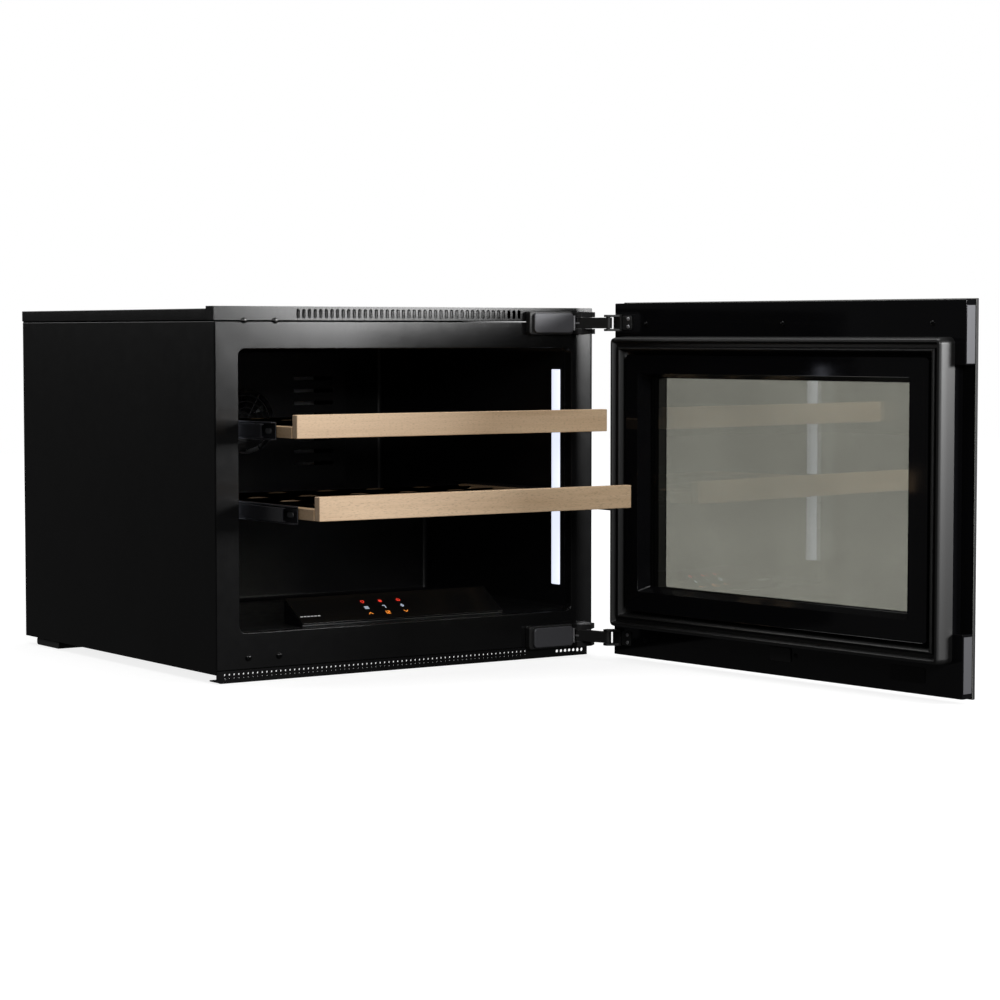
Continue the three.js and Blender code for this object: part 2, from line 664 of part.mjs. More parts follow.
doorGroup.position.set(...DOOR_CORNER_OPEN, 0);
doorGroup.rotation.z = turn;
doorGroup.add(
  piece('door_outer_glass', doorOuterGlass(), 'tintedGlass'),
  piece('door_frame', doorFrame(), 'glossBlack'),
  piece('door_inner_glass', doorInnerGlass(), 'tintedGlass'),
  piece('door_plug_frame', doorPlugFrame(), 'glossBlack'),
  piece('door_gasket', doorGasket(), 'rubber'),
);

for (const [level, shelf] of Object.entries(SHELVES)) {
  cabinet.add(
    piece(`${level}_shelf_board`, shelfBoard(shelf), 'beech'),
    piece(`${level}_shelf_rack`, shelfRack(shelf), 'beech'),
  );
  for (const [where, side] of [['left', -1], ['right', 1]]) {
    cabinet.add(
      piece(`${level}_fixed_rail_${where}`, fixedRail(side, shelf), 'darkSteel'),
      piece(`${level}_middle_rail_${where}`, middleRail(side, shelf), 'darkSteel'),
      piece(`${level}_shelf_rail_${where}`, shelfRail(side, shelf), 'darkSteel'),
    );
  }
}

export default cooler;
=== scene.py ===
"""Looks of a built-in wine cooler: cabinet, glass door on double-pivot hinges, two slide-out shelves.

Pieces are drawn in millimetres on the cabinet's own axes (front face at y = 0) and put into the row frame, in
metres, at the end. The door's pieces are drawn on the door's axes: x = 0 at its hinge side, -x towards its free
edge, y = 0 on its inner face, +y towards the cabinet.
"""

import json
import logging
import math
from dataclasses import dataclass, field
from enum import Enum
from typing import Callable, Iterable, Optional, Sequence

import bmesh
import bpy
from mathutils import Matrix, Vector


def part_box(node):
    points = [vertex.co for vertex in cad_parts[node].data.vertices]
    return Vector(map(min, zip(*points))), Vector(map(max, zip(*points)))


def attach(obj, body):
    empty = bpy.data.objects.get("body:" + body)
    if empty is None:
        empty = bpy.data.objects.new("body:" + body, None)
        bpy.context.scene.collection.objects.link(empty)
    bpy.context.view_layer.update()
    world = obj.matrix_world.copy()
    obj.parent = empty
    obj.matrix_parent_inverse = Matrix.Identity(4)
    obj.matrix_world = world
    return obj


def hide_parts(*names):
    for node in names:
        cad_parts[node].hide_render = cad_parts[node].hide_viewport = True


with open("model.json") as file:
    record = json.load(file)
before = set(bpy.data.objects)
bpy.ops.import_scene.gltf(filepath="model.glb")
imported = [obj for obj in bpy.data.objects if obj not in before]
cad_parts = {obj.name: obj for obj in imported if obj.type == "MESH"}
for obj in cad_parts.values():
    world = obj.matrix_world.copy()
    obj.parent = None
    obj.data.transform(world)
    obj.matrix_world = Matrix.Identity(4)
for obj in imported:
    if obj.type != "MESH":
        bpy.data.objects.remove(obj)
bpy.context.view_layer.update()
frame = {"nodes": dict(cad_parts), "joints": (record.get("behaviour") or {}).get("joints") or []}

log = logging.getLogger("wine_cooler")

Point = tuple[float, float]
Triple = tuple[float, float, float]
Socket = bpy.types.NodeSocket

MM = 0.001
FRONT_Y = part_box("front_frame")[0].y
CABINET_TO_ROW = Matrix.Translation((0, FRONT_Y, 0)) @ Matrix.Scale(MM, 4)

DOOR_OPEN = math.radians(95.4)
DOOR_PIN_LOCAL = (0.1, 11.0)  # the door's pin, from its hinge-side inner corner
DOOR_PIN = next(j["pos_m"] for j in frame["joints"] if j["name"] == "door_swing")


def _door_to_row() -> Matrix:
    """Returns: the matrix from the open door's own millimetres to the row frame."""
    turn = Matrix.Rotation(DOOR_OPEN, 4, "Z")
    corner = Vector((DOOR_PIN[0], DOOR_PIN[1], 0)) - turn @ Vector((*DOOR_PIN_LOCAL, 0)) * MM
    return Matrix.Translation(corner) @ turn @ Matrix.Scale(MM, 4)


DOOR_TO_ROW = _door_to_row()


@dataclass(frozen=True)
class Span:
    """Lowest and highest corner of a CAD node, in cabinet millimetres."""

    lo: Vector
    hi: Vector

    @property
    def middle(self) -> Vector:
        """Returns: the centre of the box."""
        return (self.lo + self.hi) / 2


def span(node: str) -> Span:
    """Reads where a CAD node is.

    Args:
        node: the node's name.
    Returns:
        Its box in cabinet millimetres.
    """
    back = CABINET_TO_ROW.inverted()
    lo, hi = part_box(node)
    return Span(back @ lo, back @ hi)


# ---------------------------------------------------------------- finishes


class Sheet:
    """A node material while it is being put together."""

    def __init__(self, name: str) -> None:
        """Args: name: the material's name."""
        self.material = bpy.data.materials.new(name)
        self.material.use_nodes = True
        self.tree = self.material.node_tree
        self.shader = self.tree.nodes["Principled BSDF"]
        self.output = self.tree.nodes["Material Output"]
        self.coordinates = self.add("ShaderNodeTexCoord").outputs["Object"]

    def add(self, kind: str, **settings: object) -> bpy.types.Node:
        """Adds a node.

        Args:
            kind: the node's type.
            settings: its properties.
        Returns:
            The node.
        """
        node = self.tree.nodes.new(kind)
        for key, value in settings.items():
            setattr(node, key, value)
        return node

    def set(self, **values: object) -> None:
        """Args: values: Principled inputs by name, with _ for a space."""
        for key, value in values.items():
            self.shader.inputs[key.replace("_", " ")].default_value = value

    def link(self, source: Socket, target: Socket) -> None:
        """Args: source: an output. target: the input that it feeds."""
        self.tree.links.new(source, target)

    def noise(self, scale: Triple, detail: float = 3.0, roughness: float = 0.55) -> Socket:
        """Adds noise on object coordinates.

        Args:
            scale: cycles per metre on each axis.
            detail: octaves.
            roughness: weight of the fine octaves.
        Returns:
            The noise value.
        """
        mapping = self.add("ShaderNodeMapping")
        mapping.inputs["Scale"].default_value = scale
        texture = self.add("ShaderNodeTexNoise")
        texture.inputs["Scale"].default_value = 1.0
        texture.inputs["Detail"].default_value = detail
        texture.inputs["Roughness"].default_value = roughness
        self.link(self.coordinates, mapping.inputs["Vector"])
        self.link(mapping.outputs["Vector"], texture.inputs["Vector"])
        return texture.outputs["Fac"]

    def ranged(self, value: Socket, low: float, high: float, start: float = 0.25, end: float = 0.75) -> Socket:
        """Maps a value to a range.

        Args:
            value: the value.
            low: the result at start.
            high: the result at end.
            start: value that gives low.
            end: value that gives high.
        Returns:
            The mapped value.
        """
        node = self.add("ShaderNodeMapRange")
        for key, number in (("From Min", start), ("From Max", end), ("To Min", low), ("To Max", high)):
            node.inputs[key].default_value = number
        self.link(value, node.inputs["Value"])
        return node.outputs["Result"]

    def ramp(self, value: Socket, stops: Sequence[tuple[float, Triple]]) -> Socket:
        """Colours a value.

        Args:
            value: the value.
            stops: position and linear colour of each stop.
        Returns:
            The colour.
        """
        node = self.add("ShaderNodeValToRGB")
        elements = node.color_ramp.elements
        while len(elements) < len(stops):
            elements.new(1.0)
        for element, (position, colour) in zip(elements, stops):
            element.position = position
            element.color = (*colour, 1.0)
        self.link(value, node.inputs["Fac"])
        return node.outputs["Color"]

    def multiply(self, colour: Socket, factor: Socket) -> Socket:
        """Darkens a colour.

        Args:
            colour: the colour.
            factor: what each channel is multiplied by.
        Returns:
            The product.
        """
        node = self.add("ShaderNodeVectorMath", operation="SCALE")
        self.link(colour, node.inputs[0])
        self.link(factor, node.inputs["Scale"])
        return node.outputs["Vector"]

    def bump(self, height: Socket, strength: float, depth_mm: float) -> None:
        """Args: height: the height value. strength: 0 to 1. depth_mm: depth of the relief."""
        node = self.add("ShaderNodeBump")
        node.inputs["Strength"].default_value = strength
        node.inputs["Distance"].default_value = depth_mm * MM
        self.link(height, node.inputs["Height"])
        self.link(node.outputs["Normal"], self.shader.inputs["Normal"])


@dataclass(frozen=True)
class Finish:
    """Base of every finish: a name, the record's slot, and one shared material."""

    name: str
    slot: Optional[str] = None

    def draw(self, sheet: Sheet) -> None:
        """Args: sheet: the material to fill in."""
        raise NotImplementedError

    def material(self) -> bpy.types.Material:
        """Returns: the finish's material, made once."""
        known = bpy.data.materials.get(self.name)
        if known is not None:
            return known
        sheet = Sheet(self.name)
        self.draw(sheet)
        return sheet.material


@dataclass(frozen=True)
class Coating(Finish):
    """Paint, powder coat or moulded plastic: a dark skin with grain and uneven gloss."""

    colour: Triple = (0.01, 0.01, 0.011)
    roughness: float = 0.45
    unevenness: float = 0.06
    specular: float = 0.3
    grain_per_mm: float = 1.2
    grain_depth: float = 0.02
    metallic: float = 0.0

    def draw(self, sheet: Sheet) -> None:
        """Args: sheet: the material to fill in."""
        sheet.set(Metallic=self.metallic, Specular_IOR_Level=self.specular)
        cloud = sheet.noise((9, 9, 9), 4)
        tones = [(0.3, tuple(0.82 * c for c in self.colour)), (0.7, tuple(1.18 * c for c in self.colour))]
        sheet.link(sheet.ramp(cloud, tones), sheet.shader.inputs["Base Color"])
        gloss = sheet.ranged(sheet.noise((60, 60, 60), 5), self.roughness - self.unevenness,
                             self.roughness + self.unevenness)
        sheet.link(gloss, sheet.shader.inputs["Roughness"])
        fine = self.grain_per_mm / MM
        sheet.bump(sheet.noise((fine, fine, fine), 2), 0.18, self.grain_depth)


@dataclass(frozen=True)
class Gloss(Finish):
    """Gloss black plastic or enamel, nearly mirror smooth, with faint wipe marks."""

    colour: Triple = (0.003, 0.003, 0.0035)
    roughness: float = 0.06
    specular: float = 0.4

    def draw(self, sheet: Sheet) -> None:
        """Args: sheet: the material to fill in."""
        sheet.set(Specular_IOR_Level=self.specular)
        cloud = sheet.noise((6, 6, 6), 3)
        tones = [(0.3, self.colour), (0.7, tuple(1.5 * c for c in self.colour))]
        sheet.link(sheet.ramp(cloud, tones), sheet.shader.inputs["Base Color"])
        wipes = sheet.noise((14, 14, 45), 5, 0.6)
        sheet.link(sheet.ranged(wipes, self.roughness * 0.6, self.roughness * 1.8), sheet.shader.inputs["Roughness"])


@dataclass(frozen=True)
class Pane(Finish):
    """Tinted pane: it lets part of the light through and mirrors more at a shallow angle. Light crosses both faces."""

    tint: Triple = (0.690, 0.690, 0.664)

    def draw(self, sheet: Sheet) -> None:
        """Args: sheet: the material to fill in."""
        clear = sheet.add("ShaderNodeBsdfTransparent")
        mirror = sheet.add("ShaderNodeBsdfGlossy")
        mirror.inputs["Color"].default_value = (0.95, 0.97, 0.95, 1)
        facing = sheet.add("ShaderNodeLayerWeight")
        facing.inputs["Blend"].default_value = 0.5
        steep = sheet.add("ShaderNodeMath", operation="POWER")
        steep.inputs[1].default_value = 5.0
        sheet.link(facing.outputs["Facing"], steep.inputs[0])
        mix = sheet.add("ShaderNodeMixShader")
        haze = sheet.noise((7, 7, 7), 4)
        tones = [(0.3, tuple(0.97 * c for c in self.tint)), (0.7, tuple(1.03 * c for c in self.tint))]
        sheet.link(sheet.ramp(haze, tones), clear.inputs["Color"])
        sheet.link(sheet.ranged(haze, 0.01, 0.03), mirror.inputs["Roughness"])
        sheet.link(sheet.ranged(steep.outputs["Value"], 0.075, 1.0, 0.0, 1.0), mix.inputs["Fac"])
        sheet.link(clear.outputs["BSDF"], mix.inputs[1])
        sheet.link(mirror.outputs["BSDF"], mix.inputs[2])
        sheet.link(mix.outputs["Shader"], sheet.output.inputs["Surface"])
        sheet.tree.nodes.remove(sheet.shader)


@dataclass(frozen=True)
class Metal(Finish):
    """Rolled, drawn or plated metal with a fine directional grain."""

    colour: Triple = (0.5, 0.5, 0.5)
    roughness: float = 0.3
    grain: Triple = (300, 3000, 3000)
    metallic: float = 1.0

    def draw(self, sheet: Sheet) -> None:
        """Args: sheet: the material to fill in."""
        sheet.set(Metallic=self.metallic)
        cloud = sheet.noise((20, 20, 20), 4)
        tones = [(0.3, tuple(0.9 * c for c in self.colour)), (0.7, tuple(1.1 * c for c in self.colour))]
        sheet.link(sheet.ramp(cloud, tones), sheet.shader.inputs["Base Color"])
        lines = sheet.noise(self.grain, 2)
        gloss = sheet.ranged(lines, self.roughness * 0.8, self.roughness * 1.25)
        sheet.link(gloss, sheet.shader.inputs["Roughness"])
        sheet.bump(lines, 0.2, 0.01)


class Grain(Enum):
    """Direction in which the wood's fibres run."""

    ALONG_X = (1.0, 0.0)
    ALONG_Y = (0.0, 1.0)


@dataclass(frozen=True)
class Beech(Finish):
    """Lacquered beech: pale, with soft bands along the fibres and short darker flecks."""

    grain: Grain = Grain.ALONG_X
    light: Triple = (0.66, 0.475, 0.305)
    dark: Triple = (0.56, 0.385, 0.235)

    def stretched(self, along: float, across: float) -> Triple:
        """Scales of a pattern that follows the fibres.

        Args:
            along: cycles per metre along the fibres.
            across: cycles per metre across them.
        Returns:
            The scale on each axis.
        """
        on_x, on_y = self.grain.value
        return (along * on_x + across * on_y, along * on_y + across * on_x, across)

    def draw(self, sheet: Sheet) -> None:
        """Args: sheet: the material to fill in."""
        sheet.set(Specular_IOR_Level=0.35)
        bands = sheet.noise(self.stretched(5, 90), 5, 0.6)
        tones = [(0.3, self.dark), (0.62, self.light)]
        fleck = sheet.noise(self.stretched(240, 1500), 2, 0.5)
        pores = sheet.ranged(fleck, 1.0, 0.74, 0.55, 0.68)
        streak = sheet.ranged(sheet.noise(self.stretched(12, 700), 3), 0.955, 1.035)
        wood = sheet.multiply(sheet.multiply(sheet.ramp(bands, tones), pores), streak)
        sheet.link(wood, sheet.shader.inputs["Base Color"])
        sheet.link(sheet.ranged(bands, 0.42, 0.56), sheet.shader.inputs["Roughness"])
        sheet.bump(fleck, 0.25, 0.03)


@dataclass(frozen=True)
class Light(Finish):
    """Lit plastic: a diffuser or a printed symbol with a lamp behind it."""

    colour: Triple = (0.80, 0.87, 1.0)
    strength: float = 24.0
    ripple_per_metre: float = 60.0

    def draw(self, sheet: Sheet) -> None:
        """Args: sheet: the material to fill in."""
        sheet.set(Roughness=0.4, Base_Color=(*(0.8 * c for c in self.colour), 1), Emission_Color=(*self.colour, 1))
        ripple = sheet.noise((1, 1, self.ripple_per_metre), 0)
        glow = sheet.ranged(ripple, self.strength * 0.85, self.strength * 1.15)
        sheet.link(glow, sheet.shader.inputs["Emission Strength"])


CASE_PAINT = Coating("case_paint", "case_black", (0.0056, 0.0056, 0.0058), 0.17, 0.015, 0.28, 1.1, 0.010)
LINER = Coating("liner_plastic", "liner_black", (0.006, 0.006, 0.0068), 0.34, 0.06, 0.35, 0.8, 0.02)
FAN_PLASTIC = Coating("fan_plastic", "fan_black", (0.012, 0.012, 0.013), 0.42, 0.05, 0.4)
RUBBER = Coating("gasket_rubber", "gasket_rubber", (0.0022, 0.0022, 0.0026), 0.30, 0.04, 0.07, 1.6, 0.012)
FOOT_RUBBER = Coating("foot_rubber", "foot_rubber", (0.010, 0.010, 0.010), 0.7, 0.08, 0.3, 1.4, 0.05)
DOOR_GLOSS = Gloss("door_gloss", "door_gloss_black")
PANEL_GLASS = Gloss("panel_glass", "panel_glass", (0.002, 0.002, 0.0025), 0.05, 0.5)
DOOR_PANE = Pane("door_pane", "door_glass")
HINGE_SATIN = Metal("hinge_satin", "hinge_satin", (0.16, 0.165, 0.175), 0.34, (250, 2500, 2500), 0.85)
HINGE_STEEL = Coating("hinge_steel", "hinge_steel", (0.030, 0.030, 0.032), 0.36, 0.05, 0.5, 1.4, 0.015, 0.5)
PIN_STEEL = Metal("pin_steel", "pin_steel", (0.62, 0.62, 0.63), 0.24, (2500, 2500, 300))
RAIL_STEEL = Metal("rail_steel", "rail_steel", (0.50, 0.51, 0.58), 0.30, (2500, 250, 2500), 0.95)
ALUMINIUM = Metal("aluminium", "aluminium", (0.62, 0.63, 0.64), 0.38, (2000, 2000, 200))
COMPRESSOR_PAINT = Coating("compressor_paint", "compressor_black", (0.012, 0.012, 0.013), 0.25, 0.06, 0.5)
BOARD_BEECH = Beech("board_beech", "beech", Grain.ALONG_X)
BAR_BEECH = Beech("bar_beech", "beech_rack", Grain.ALONG_X, (0.60, 0.42, 0.255), (0.49, 0.325, 0.185))
SIDE_BEECH = Beech("side_beech", "beech_rack", Grain.ALONG_Y, (0.60, 0.42, 0.255), (0.49, 0.325, 0.185))
DIFFUSER = Light("led_diffuser", "led_diffuser")
SCREW_BLACK = Coating("screw_black", "hinge_steel", (0.0015, 0.0015, 0.0018), 0.12, 0.02, 0.3)
SPACER = Coating("spacer_black", "door_gloss_black", (0.010, 0.010, 0.011), 0.45, 0.05, 0.35)
INK_AMBER = Light("ink_amber", "panel_glass", (1.0, 0.33, 0.04), 0.7, 900)
INK_RED = Light("ink_red", "panel_glass", (1.0, 0.06, 0.03), 0.5, 900)
INK_WHITE = Light("ink_white", "panel_glass", (0.75, 0.85, 1.0), 0.35, 900)
INK_GREY = Light("ink_grey", "panel_glass", (0.8, 0.8, 0.8), 0.12, 900)
FOAM = Coating("foam", "foam", (0.72, 0.64, 0.42), 0.9, 0.05, 0.2, 0.5, 0.3)

# ---------------------------------------------------------------- mesh tools


def block(lo: Triple, hi: Triple) -> bmesh.types.BMesh:
    """Makes a box.

    Args:
        lo: its lowest corner.
        hi: its highest corner.
    Returns:
        The mesh.
    """
    mesh = bmesh.new()
    bmesh.ops.create_cube(mesh, size=1)
    size = Vector(hi) - Vector(lo)
    mesh.transform(Matrix.Translation((Vector(lo) + Vector(hi)) / 2) @ Matrix.Diagonal((*size, 1)))
    return mesh


def rounded(u0: float, u1: float, v0: float, v1: float, radius: float, steps: int = 5) -> list[Point]:
    """Rectangle with round corners.

    Args:
        u0, u1, v0, v1: its sides.
        radius: of the corners.
        steps: segments in each corner.
    Returns:
        The outline, counter-clockwise.
    """
    corners = ((u1 - radius, v0 + radius, -90), (u1 - radius, v1 - radius, 0),
               (u0 + radius, v1 - radius, 90), (u0 + radius, v0 + radius, 180))
    points = []
    for u, v, start in corners:
        for step in range(steps + 1):
            angle = math.radians(start + 90 * step / steps)
            points.append((u + radius * math.cos(angle), v + radius * math.sin(angle)))
    return points


class Axis(Enum):
    """Direction in which an outline is pulled out, with the two axes that the outline lies in."""

    X = (1, 2, 0)
    Y = (0, 2, 1)
    Z = (0, 1, 2)

    def point(self, u: float, v: float, along: float) -> Vector:
        """Puts an outline's point in space.

        Args:
            u, v: the point in the outline's plane.
            along: its place on the axis.
        Returns:
            The point.
        """
        place = [0.0, 0.0, 0.0]
        place[self.value[0]], place[self.value[1]], place[self.value[2]] = u, v, along
        return Vector(place)


def pulled(outline: Sequence[Point], axis: Axis, start: float, end: float) -> bmesh.types.BMesh:
    """Pulls an outline out to a solid.

    Args:
        outline: its points.
        axis: the direction.
        start: where it starts.
        end: where it ends.
    Returns:
        The mesh.
    """
    mesh = bmesh.new()
    face = mesh.faces.new([mesh.verts.new(axis.point(u, v, start)) for u, v in outline])
    made = bmesh.ops.extrude_face_region(mesh, geom=[face], use_keep_orig=True)
    moved = [g for g in made["geom"] if isinstance(g, bmesh.types.BMVert)]
    bmesh.ops.translate(mesh, vec=axis.point(0, 0, end - start), verts=moved)
    bmesh.ops.recalc_face_normals(mesh, faces=mesh.faces)
    return mesh


def soften(mesh: bmesh.types.BMesh, width: float, segments: int = 2, angle: float = 25,
           keep: Optional[Callable[[bmesh.types.BMEdge], bool]] = None) -> bmesh.types.BMesh:
    """Rounds sharp edges.

    Args:
        mesh: the mesh, which is changed.
        width: of the rounding.
        segments: in the rounding.
        angle: edges that turn less than this many degrees stay.
        keep: says which sharp edges stay sharp.
    Returns:
        The same mesh.
    """
    limit = math.radians(angle)
    edges = [e for e in mesh.edges if e.is_manifold and e.calc_face_angle(0) > limit and not (keep and keep(e))]
    bmesh.ops.bevel(mesh, geom=edges, offset=width, offset_type="OFFSET", segments=segments, profile=0.5,
                    affect="EDGES", clamp_overlap=True, loop_slide=True, material=-1)
    return mesh


def turned(profile: Sequence[Point], sides: int = 32) -> bmesh.types.BMesh:
    """Turns a profile about Z.

    Args:
        profile: radius and height of each point, from axis to axis.
        sides: steps round.
    Returns:
        The closed mesh.
    """
    mesh = bmesh.new()
    points = [mesh.verts.new((radius, 0, height)) for radius, height in profile]
    edges = [mesh.edges.new(pair) for pair in zip(points, points[1:])]
    bmesh.ops.spin(mesh, geom=[*points, *edges], cent=(0, 0, 0), axis=(0, 0, 1), angle=math.tau, steps=sides,
                   use_merge=True)
    bmesh.ops.remove_doubles(mesh, verts=mesh.verts, dist=1e-4)
    bmesh.ops.recalc_face_normals(mesh, faces=mesh.faces)
    return mesh


def ring(profile: Sequence[Point], radius: float, sides: int = 48) -> bmesh.types.BMesh:
    """Turns a closed section about Z.

    Args:
        profile: radius offset and height of the section's points.
        radius: of the section's middle.
        sides: steps round.
    Returns:
        The closed mesh.
    """
    mesh = bmesh.new()
    points = [mesh.verts.new((radius + r, 0, h)) for r, h in profile]
    edges = [mesh.edges.new((points[i - 1], points[i])) for i in range(len(points))]
    bmesh.ops.spin(mesh, geom=[*points, *edges], cent=(0, 0, 0), axis=(0, 0, 1), angle=math.tau, steps=sides,
                   use_merge=True)
    bmesh.ops.remove_doubles(mesh, verts=mesh.verts, dist=1e-4)
    bmesh.ops.recalc_face_normals(mesh, faces=mesh.faces)
    return mesh


def facing(direction: Triple, place: Sequence[float]) -> Matrix:
    """Turns +Z to a direction and moves to a place.

    Args:
        direction: where +Z goes.
        place: where the origin goes.
    Returns:
        The matrix.
    """
    turn = Vector(direction).to_track_quat("Z", "Y").to_matrix().to_4x4()
    return Matrix.Translation(Vector(place)) @ turn


def together(parts: Iterable[bmesh.types.BMesh]) -> bmesh.types.BMesh:
    """Puts meshes into one.

    Args:
        parts: the meshes, which are freed.
    Returns:
        One mesh.
    """
    whole = bmesh.new()
    for part in parts:
        copy = bpy.data.meshes.new("part")
        part.to_mesh(copy)
        part.free()
        whole.from_mesh(copy)
        bpy.data.meshes.remove(copy)
    return whole


def moved(mesh: bmesh.types.BMesh, matrix: Matrix) -> bmesh.types.BMesh:
    """Moves a mesh.

    Args:
        mesh: the mesh, which is changed.
        matrix: the move.
    Returns:
        The same mesh.
    """
    mesh.transform(matrix)
    return mesh


def swept_frame(sides: tuple[float, float, float, float], radius: float, steps: Sequence[Point]) -> bmesh.types.BMesh:
    """Makes a closed frame with a moulded section, standing in x and z, from its outer sides.

    Args:
        sides: its lowest and highest x and its lowest and highest z.
        radius: of its outer corners.
        steps: the section from the outer edge inwards: how far in each point is, and its y.
    Returns:
        The frame.
    """
    x0, x1, z0, z1 = sides
    mesh = bmesh.new()
    loops = []
    for inset, y in steps:
        outline = rounded(x0 + inset, x1 - inset, z0 + inset, z1 - inset, max(radius - inset, 0.8))
        loops.append([mesh.verts.new((u, y, v)) for u, v in outline])
    edges = [[mesh.edges.new((loop[i - 1], loop[i])) for i in range(len(loop))] for loop in loops]
    for index in range(len(edges)):
        bmesh.ops.bridge_loops(mesh, edges=[*edges[index - 1], *edges[index]])
    bmesh.ops.recalc_face_normals(mesh, faces=mesh.faces)
    return mesh


def cad_copy(node: str) -> bmesh.types.BMesh:
    """Copies a CAD node's mesh with its loose triangles joined and its flat faces made whole.

    Args:
        node: the node's name.
    Returns:
        The mesh, in cabinet millimetres.
    """
    mesh = bmesh.new()
    mesh.from_mesh(frame["nodes"][node].data)
    mesh.transform(CABINET_TO_ROW.inverted())
    bmesh.ops.remove_doubles(mesh, verts=mesh.verts, dist=0.004)
    bmesh.ops.dissolve_limit(mesh, angle_limit=math.radians(0.6), use_dissolve_boundaries=False, verts=mesh.verts,
                             edges=mesh.edges, delimit=set())
    return mesh


def carved(mesh: bmesh.types.BMesh, cutter: bmesh.types.BMesh) -> bmesh.types.BMesh:
    """Cuts one mesh out of another.

    Args:
        mesh: what is cut; freed.
        cutter: what is taken away; freed.
    Returns:
        What is left.
    """
    objects = []
    for part in (mesh, cutter):
        data = bpy.data.meshes.new("carving")
        part.to_mesh(data)
        part.free()
        objects.append(bpy.data.objects.new("carving", data))
        bpy.context.scene.collection.objects.link(objects[-1])
    cut = objects[0].modifiers.new("cut", "BOOLEAN")
    cut.operation, cut.solver, cut.object = "DIFFERENCE", "EXACT", objects[1]
    bpy.context.view_layer.update()
    result = objects[0].evaluated_get(bpy.context.evaluated_depsgraph_get())
    left = bmesh.new()
    left.from_mesh(result.to_mesh())
    for thing in objects:
        data = thing.data
        bpy.data.objects.remove(thing)
        bpy.data.meshes.remove(data)
    return left


RECESS_ARM = 0.62  # how far the cross recess reaches, in head radii
RECESS_WAIST = 0.2  # and how near it comes between its arms


def screw(place: Sequence[float], direction: Triple, radius: float, height: float) -> bmesh.types.BMesh:
    """Makes a pan-head screw's head with a cross recess.

    Args:
        place: the middle of its seat.
        direction: where it points, out of the surface.
        radius: of the head.
        height: of the head.
    Returns:
        The mesh.
    """
    profile = [(0, -height * 0.4), (radius * 0.5, -height * 0.4), (radius * 0.96, 0), (radius, height * 0.45),
               (radius * 0.86, height * 0.86), (radius * 0.68, height)]
    mesh = turned(profile, 16)
    rim = [e for e in mesh.edges if e.is_boundary]
    top = bmesh.ops.contextual_create(mesh, geom=rim)["faces"]
    bmesh.ops.inset_region(mesh, faces=top, thickness=radius * 0.02, use_even_offset=True)
    middle = Vector((0, 0, height))
    for index, vert in enumerate(top[0].verts):
        share = RECESS_ARM if index % 4 == 0 else RECESS_WAIST
        vert.co = middle + (vert.co - middle).normalized() * radius * share
    bmesh.ops.inset_region(mesh, faces=top, thickness=radius * 0.02, depth=-height * 0.7, use_even_offset=False)
    bmesh.ops.recalc_face_normals(mesh, faces=mesh.faces)
    return moved(mesh, facing(direction, place))


def rod(start: Sequence[float], end: Sequence[float], radius: float, edge: float = 0.3,
        sides: int = 24) -> bmesh.types.BMesh:
    """Makes a round rod with eased ends.

    Args:
        start: the middle of one end.
        end: the middle of the other.
        radius: of the rod.
        edge: chamfer at the ends.
        sides: steps round.
    Returns:
        The mesh.
    """
    way = Vector(end) - Vector(start)
    length = way.length
    profile = [(0, 0), (radius - edge, 0), (radius, edge), (radius, length - edge), (radius - edge, length),
               (0, length)]
    return moved(turned(profile, sides), facing(tuple(way), start))


@dataclass
class Maker:
    """Turns meshes into pieces of the object."""

    to_row: Matrix
    made: list[str] = field(default_factory=list)

    def piece(self, name: str, mesh: bmesh.types.BMesh, finish: Finish, body: str, stands_for: Sequence[str] = (),
              smooth: float = 35) -> bpy.types.Object:
        """Makes a piece that rides on a body.

        Args:
            name: the piece's name.
            mesh: its mesh in this maker's millimetres, which is freed.
            finish: its finish.
            body: the CAD body that it rides on.
            stands_for: CAD nodes that it replaces.
            smooth: edges that turn more than this many degrees stay sharp.
        Returns:
            The piece.
        """
        mesh.transform(self.to_row)
        data = bpy.data.meshes.new(name)
        mesh.to_mesh(data)
        mesh.free()
        data.polygons.foreach_set("use_smooth", [True] * len(data.polygons))
        data.set_sharp_from_angle(angle=math.radians(smooth))
        data.materials.append(finish.material())
        thing = bpy.data.objects.new(name, data)
        bpy.context.scene.collection.objects.link(thing)
        weighted = thing.modifiers.new("flat_faces_stay_flat", "WEIGHTED_NORMAL")
        weighted.keep_sharp = True
        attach(thing, body)
        if stands_for:
            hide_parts(*stands_for)
        self.made.append(name)
        return thing

    def eased(self, node: str, finish: Finish, body: str, width: float, segments: int = 2) -> bpy.types.Object:
        """Stands a copy with rounded edges in for a CAD node.

        Args:
            node: the CAD node.
            finish: the copy's finish.
            body: the node's body.
            width: of the rounding, in millimetres.
            segments: in the rounding.
        Returns:
            The piece.
        """
        mesh = soften(cad_copy(node), width, segments)
        return CABINET.piece(f"{node}_finished", mesh, finish, body, [node])

    def dress(self, node: str, finish: Finish) -> None:
        """Args: node: a CAD node that stays in view. finish: what it gets."""
        thing = frame["nodes"][node]
        thing.data.materials.clear()
        thing.data.materials.append(finish.material())


CABINET = Maker(CABINET_TO_ROW)
DOOR = Maker(DOOR_TO_ROW)
LEVELS = ("upper", "lower")
SIDES = (("left", -1), ("right", 1))

# ---------------------------------------------------------------- sub-assemblies


def peg(x: float, z: float, radius: float, start: float, end: float, sides: int = 10) -> bmesh.types.BMesh:
    """Makes a round bar along y, to cut a hole with.

    Args:
        x, z: its axis.
        radius: of the bar.
        start, end: its ends on y.
        sides: steps round.
    Returns:
        The mesh.
    """
    turns = [math.tau * i / sides for i in range(sides)]
    return pulled([(x + radius * math.cos(a), z + radius * math.sin(a)) for a in turns], Axis.Y, start, end)


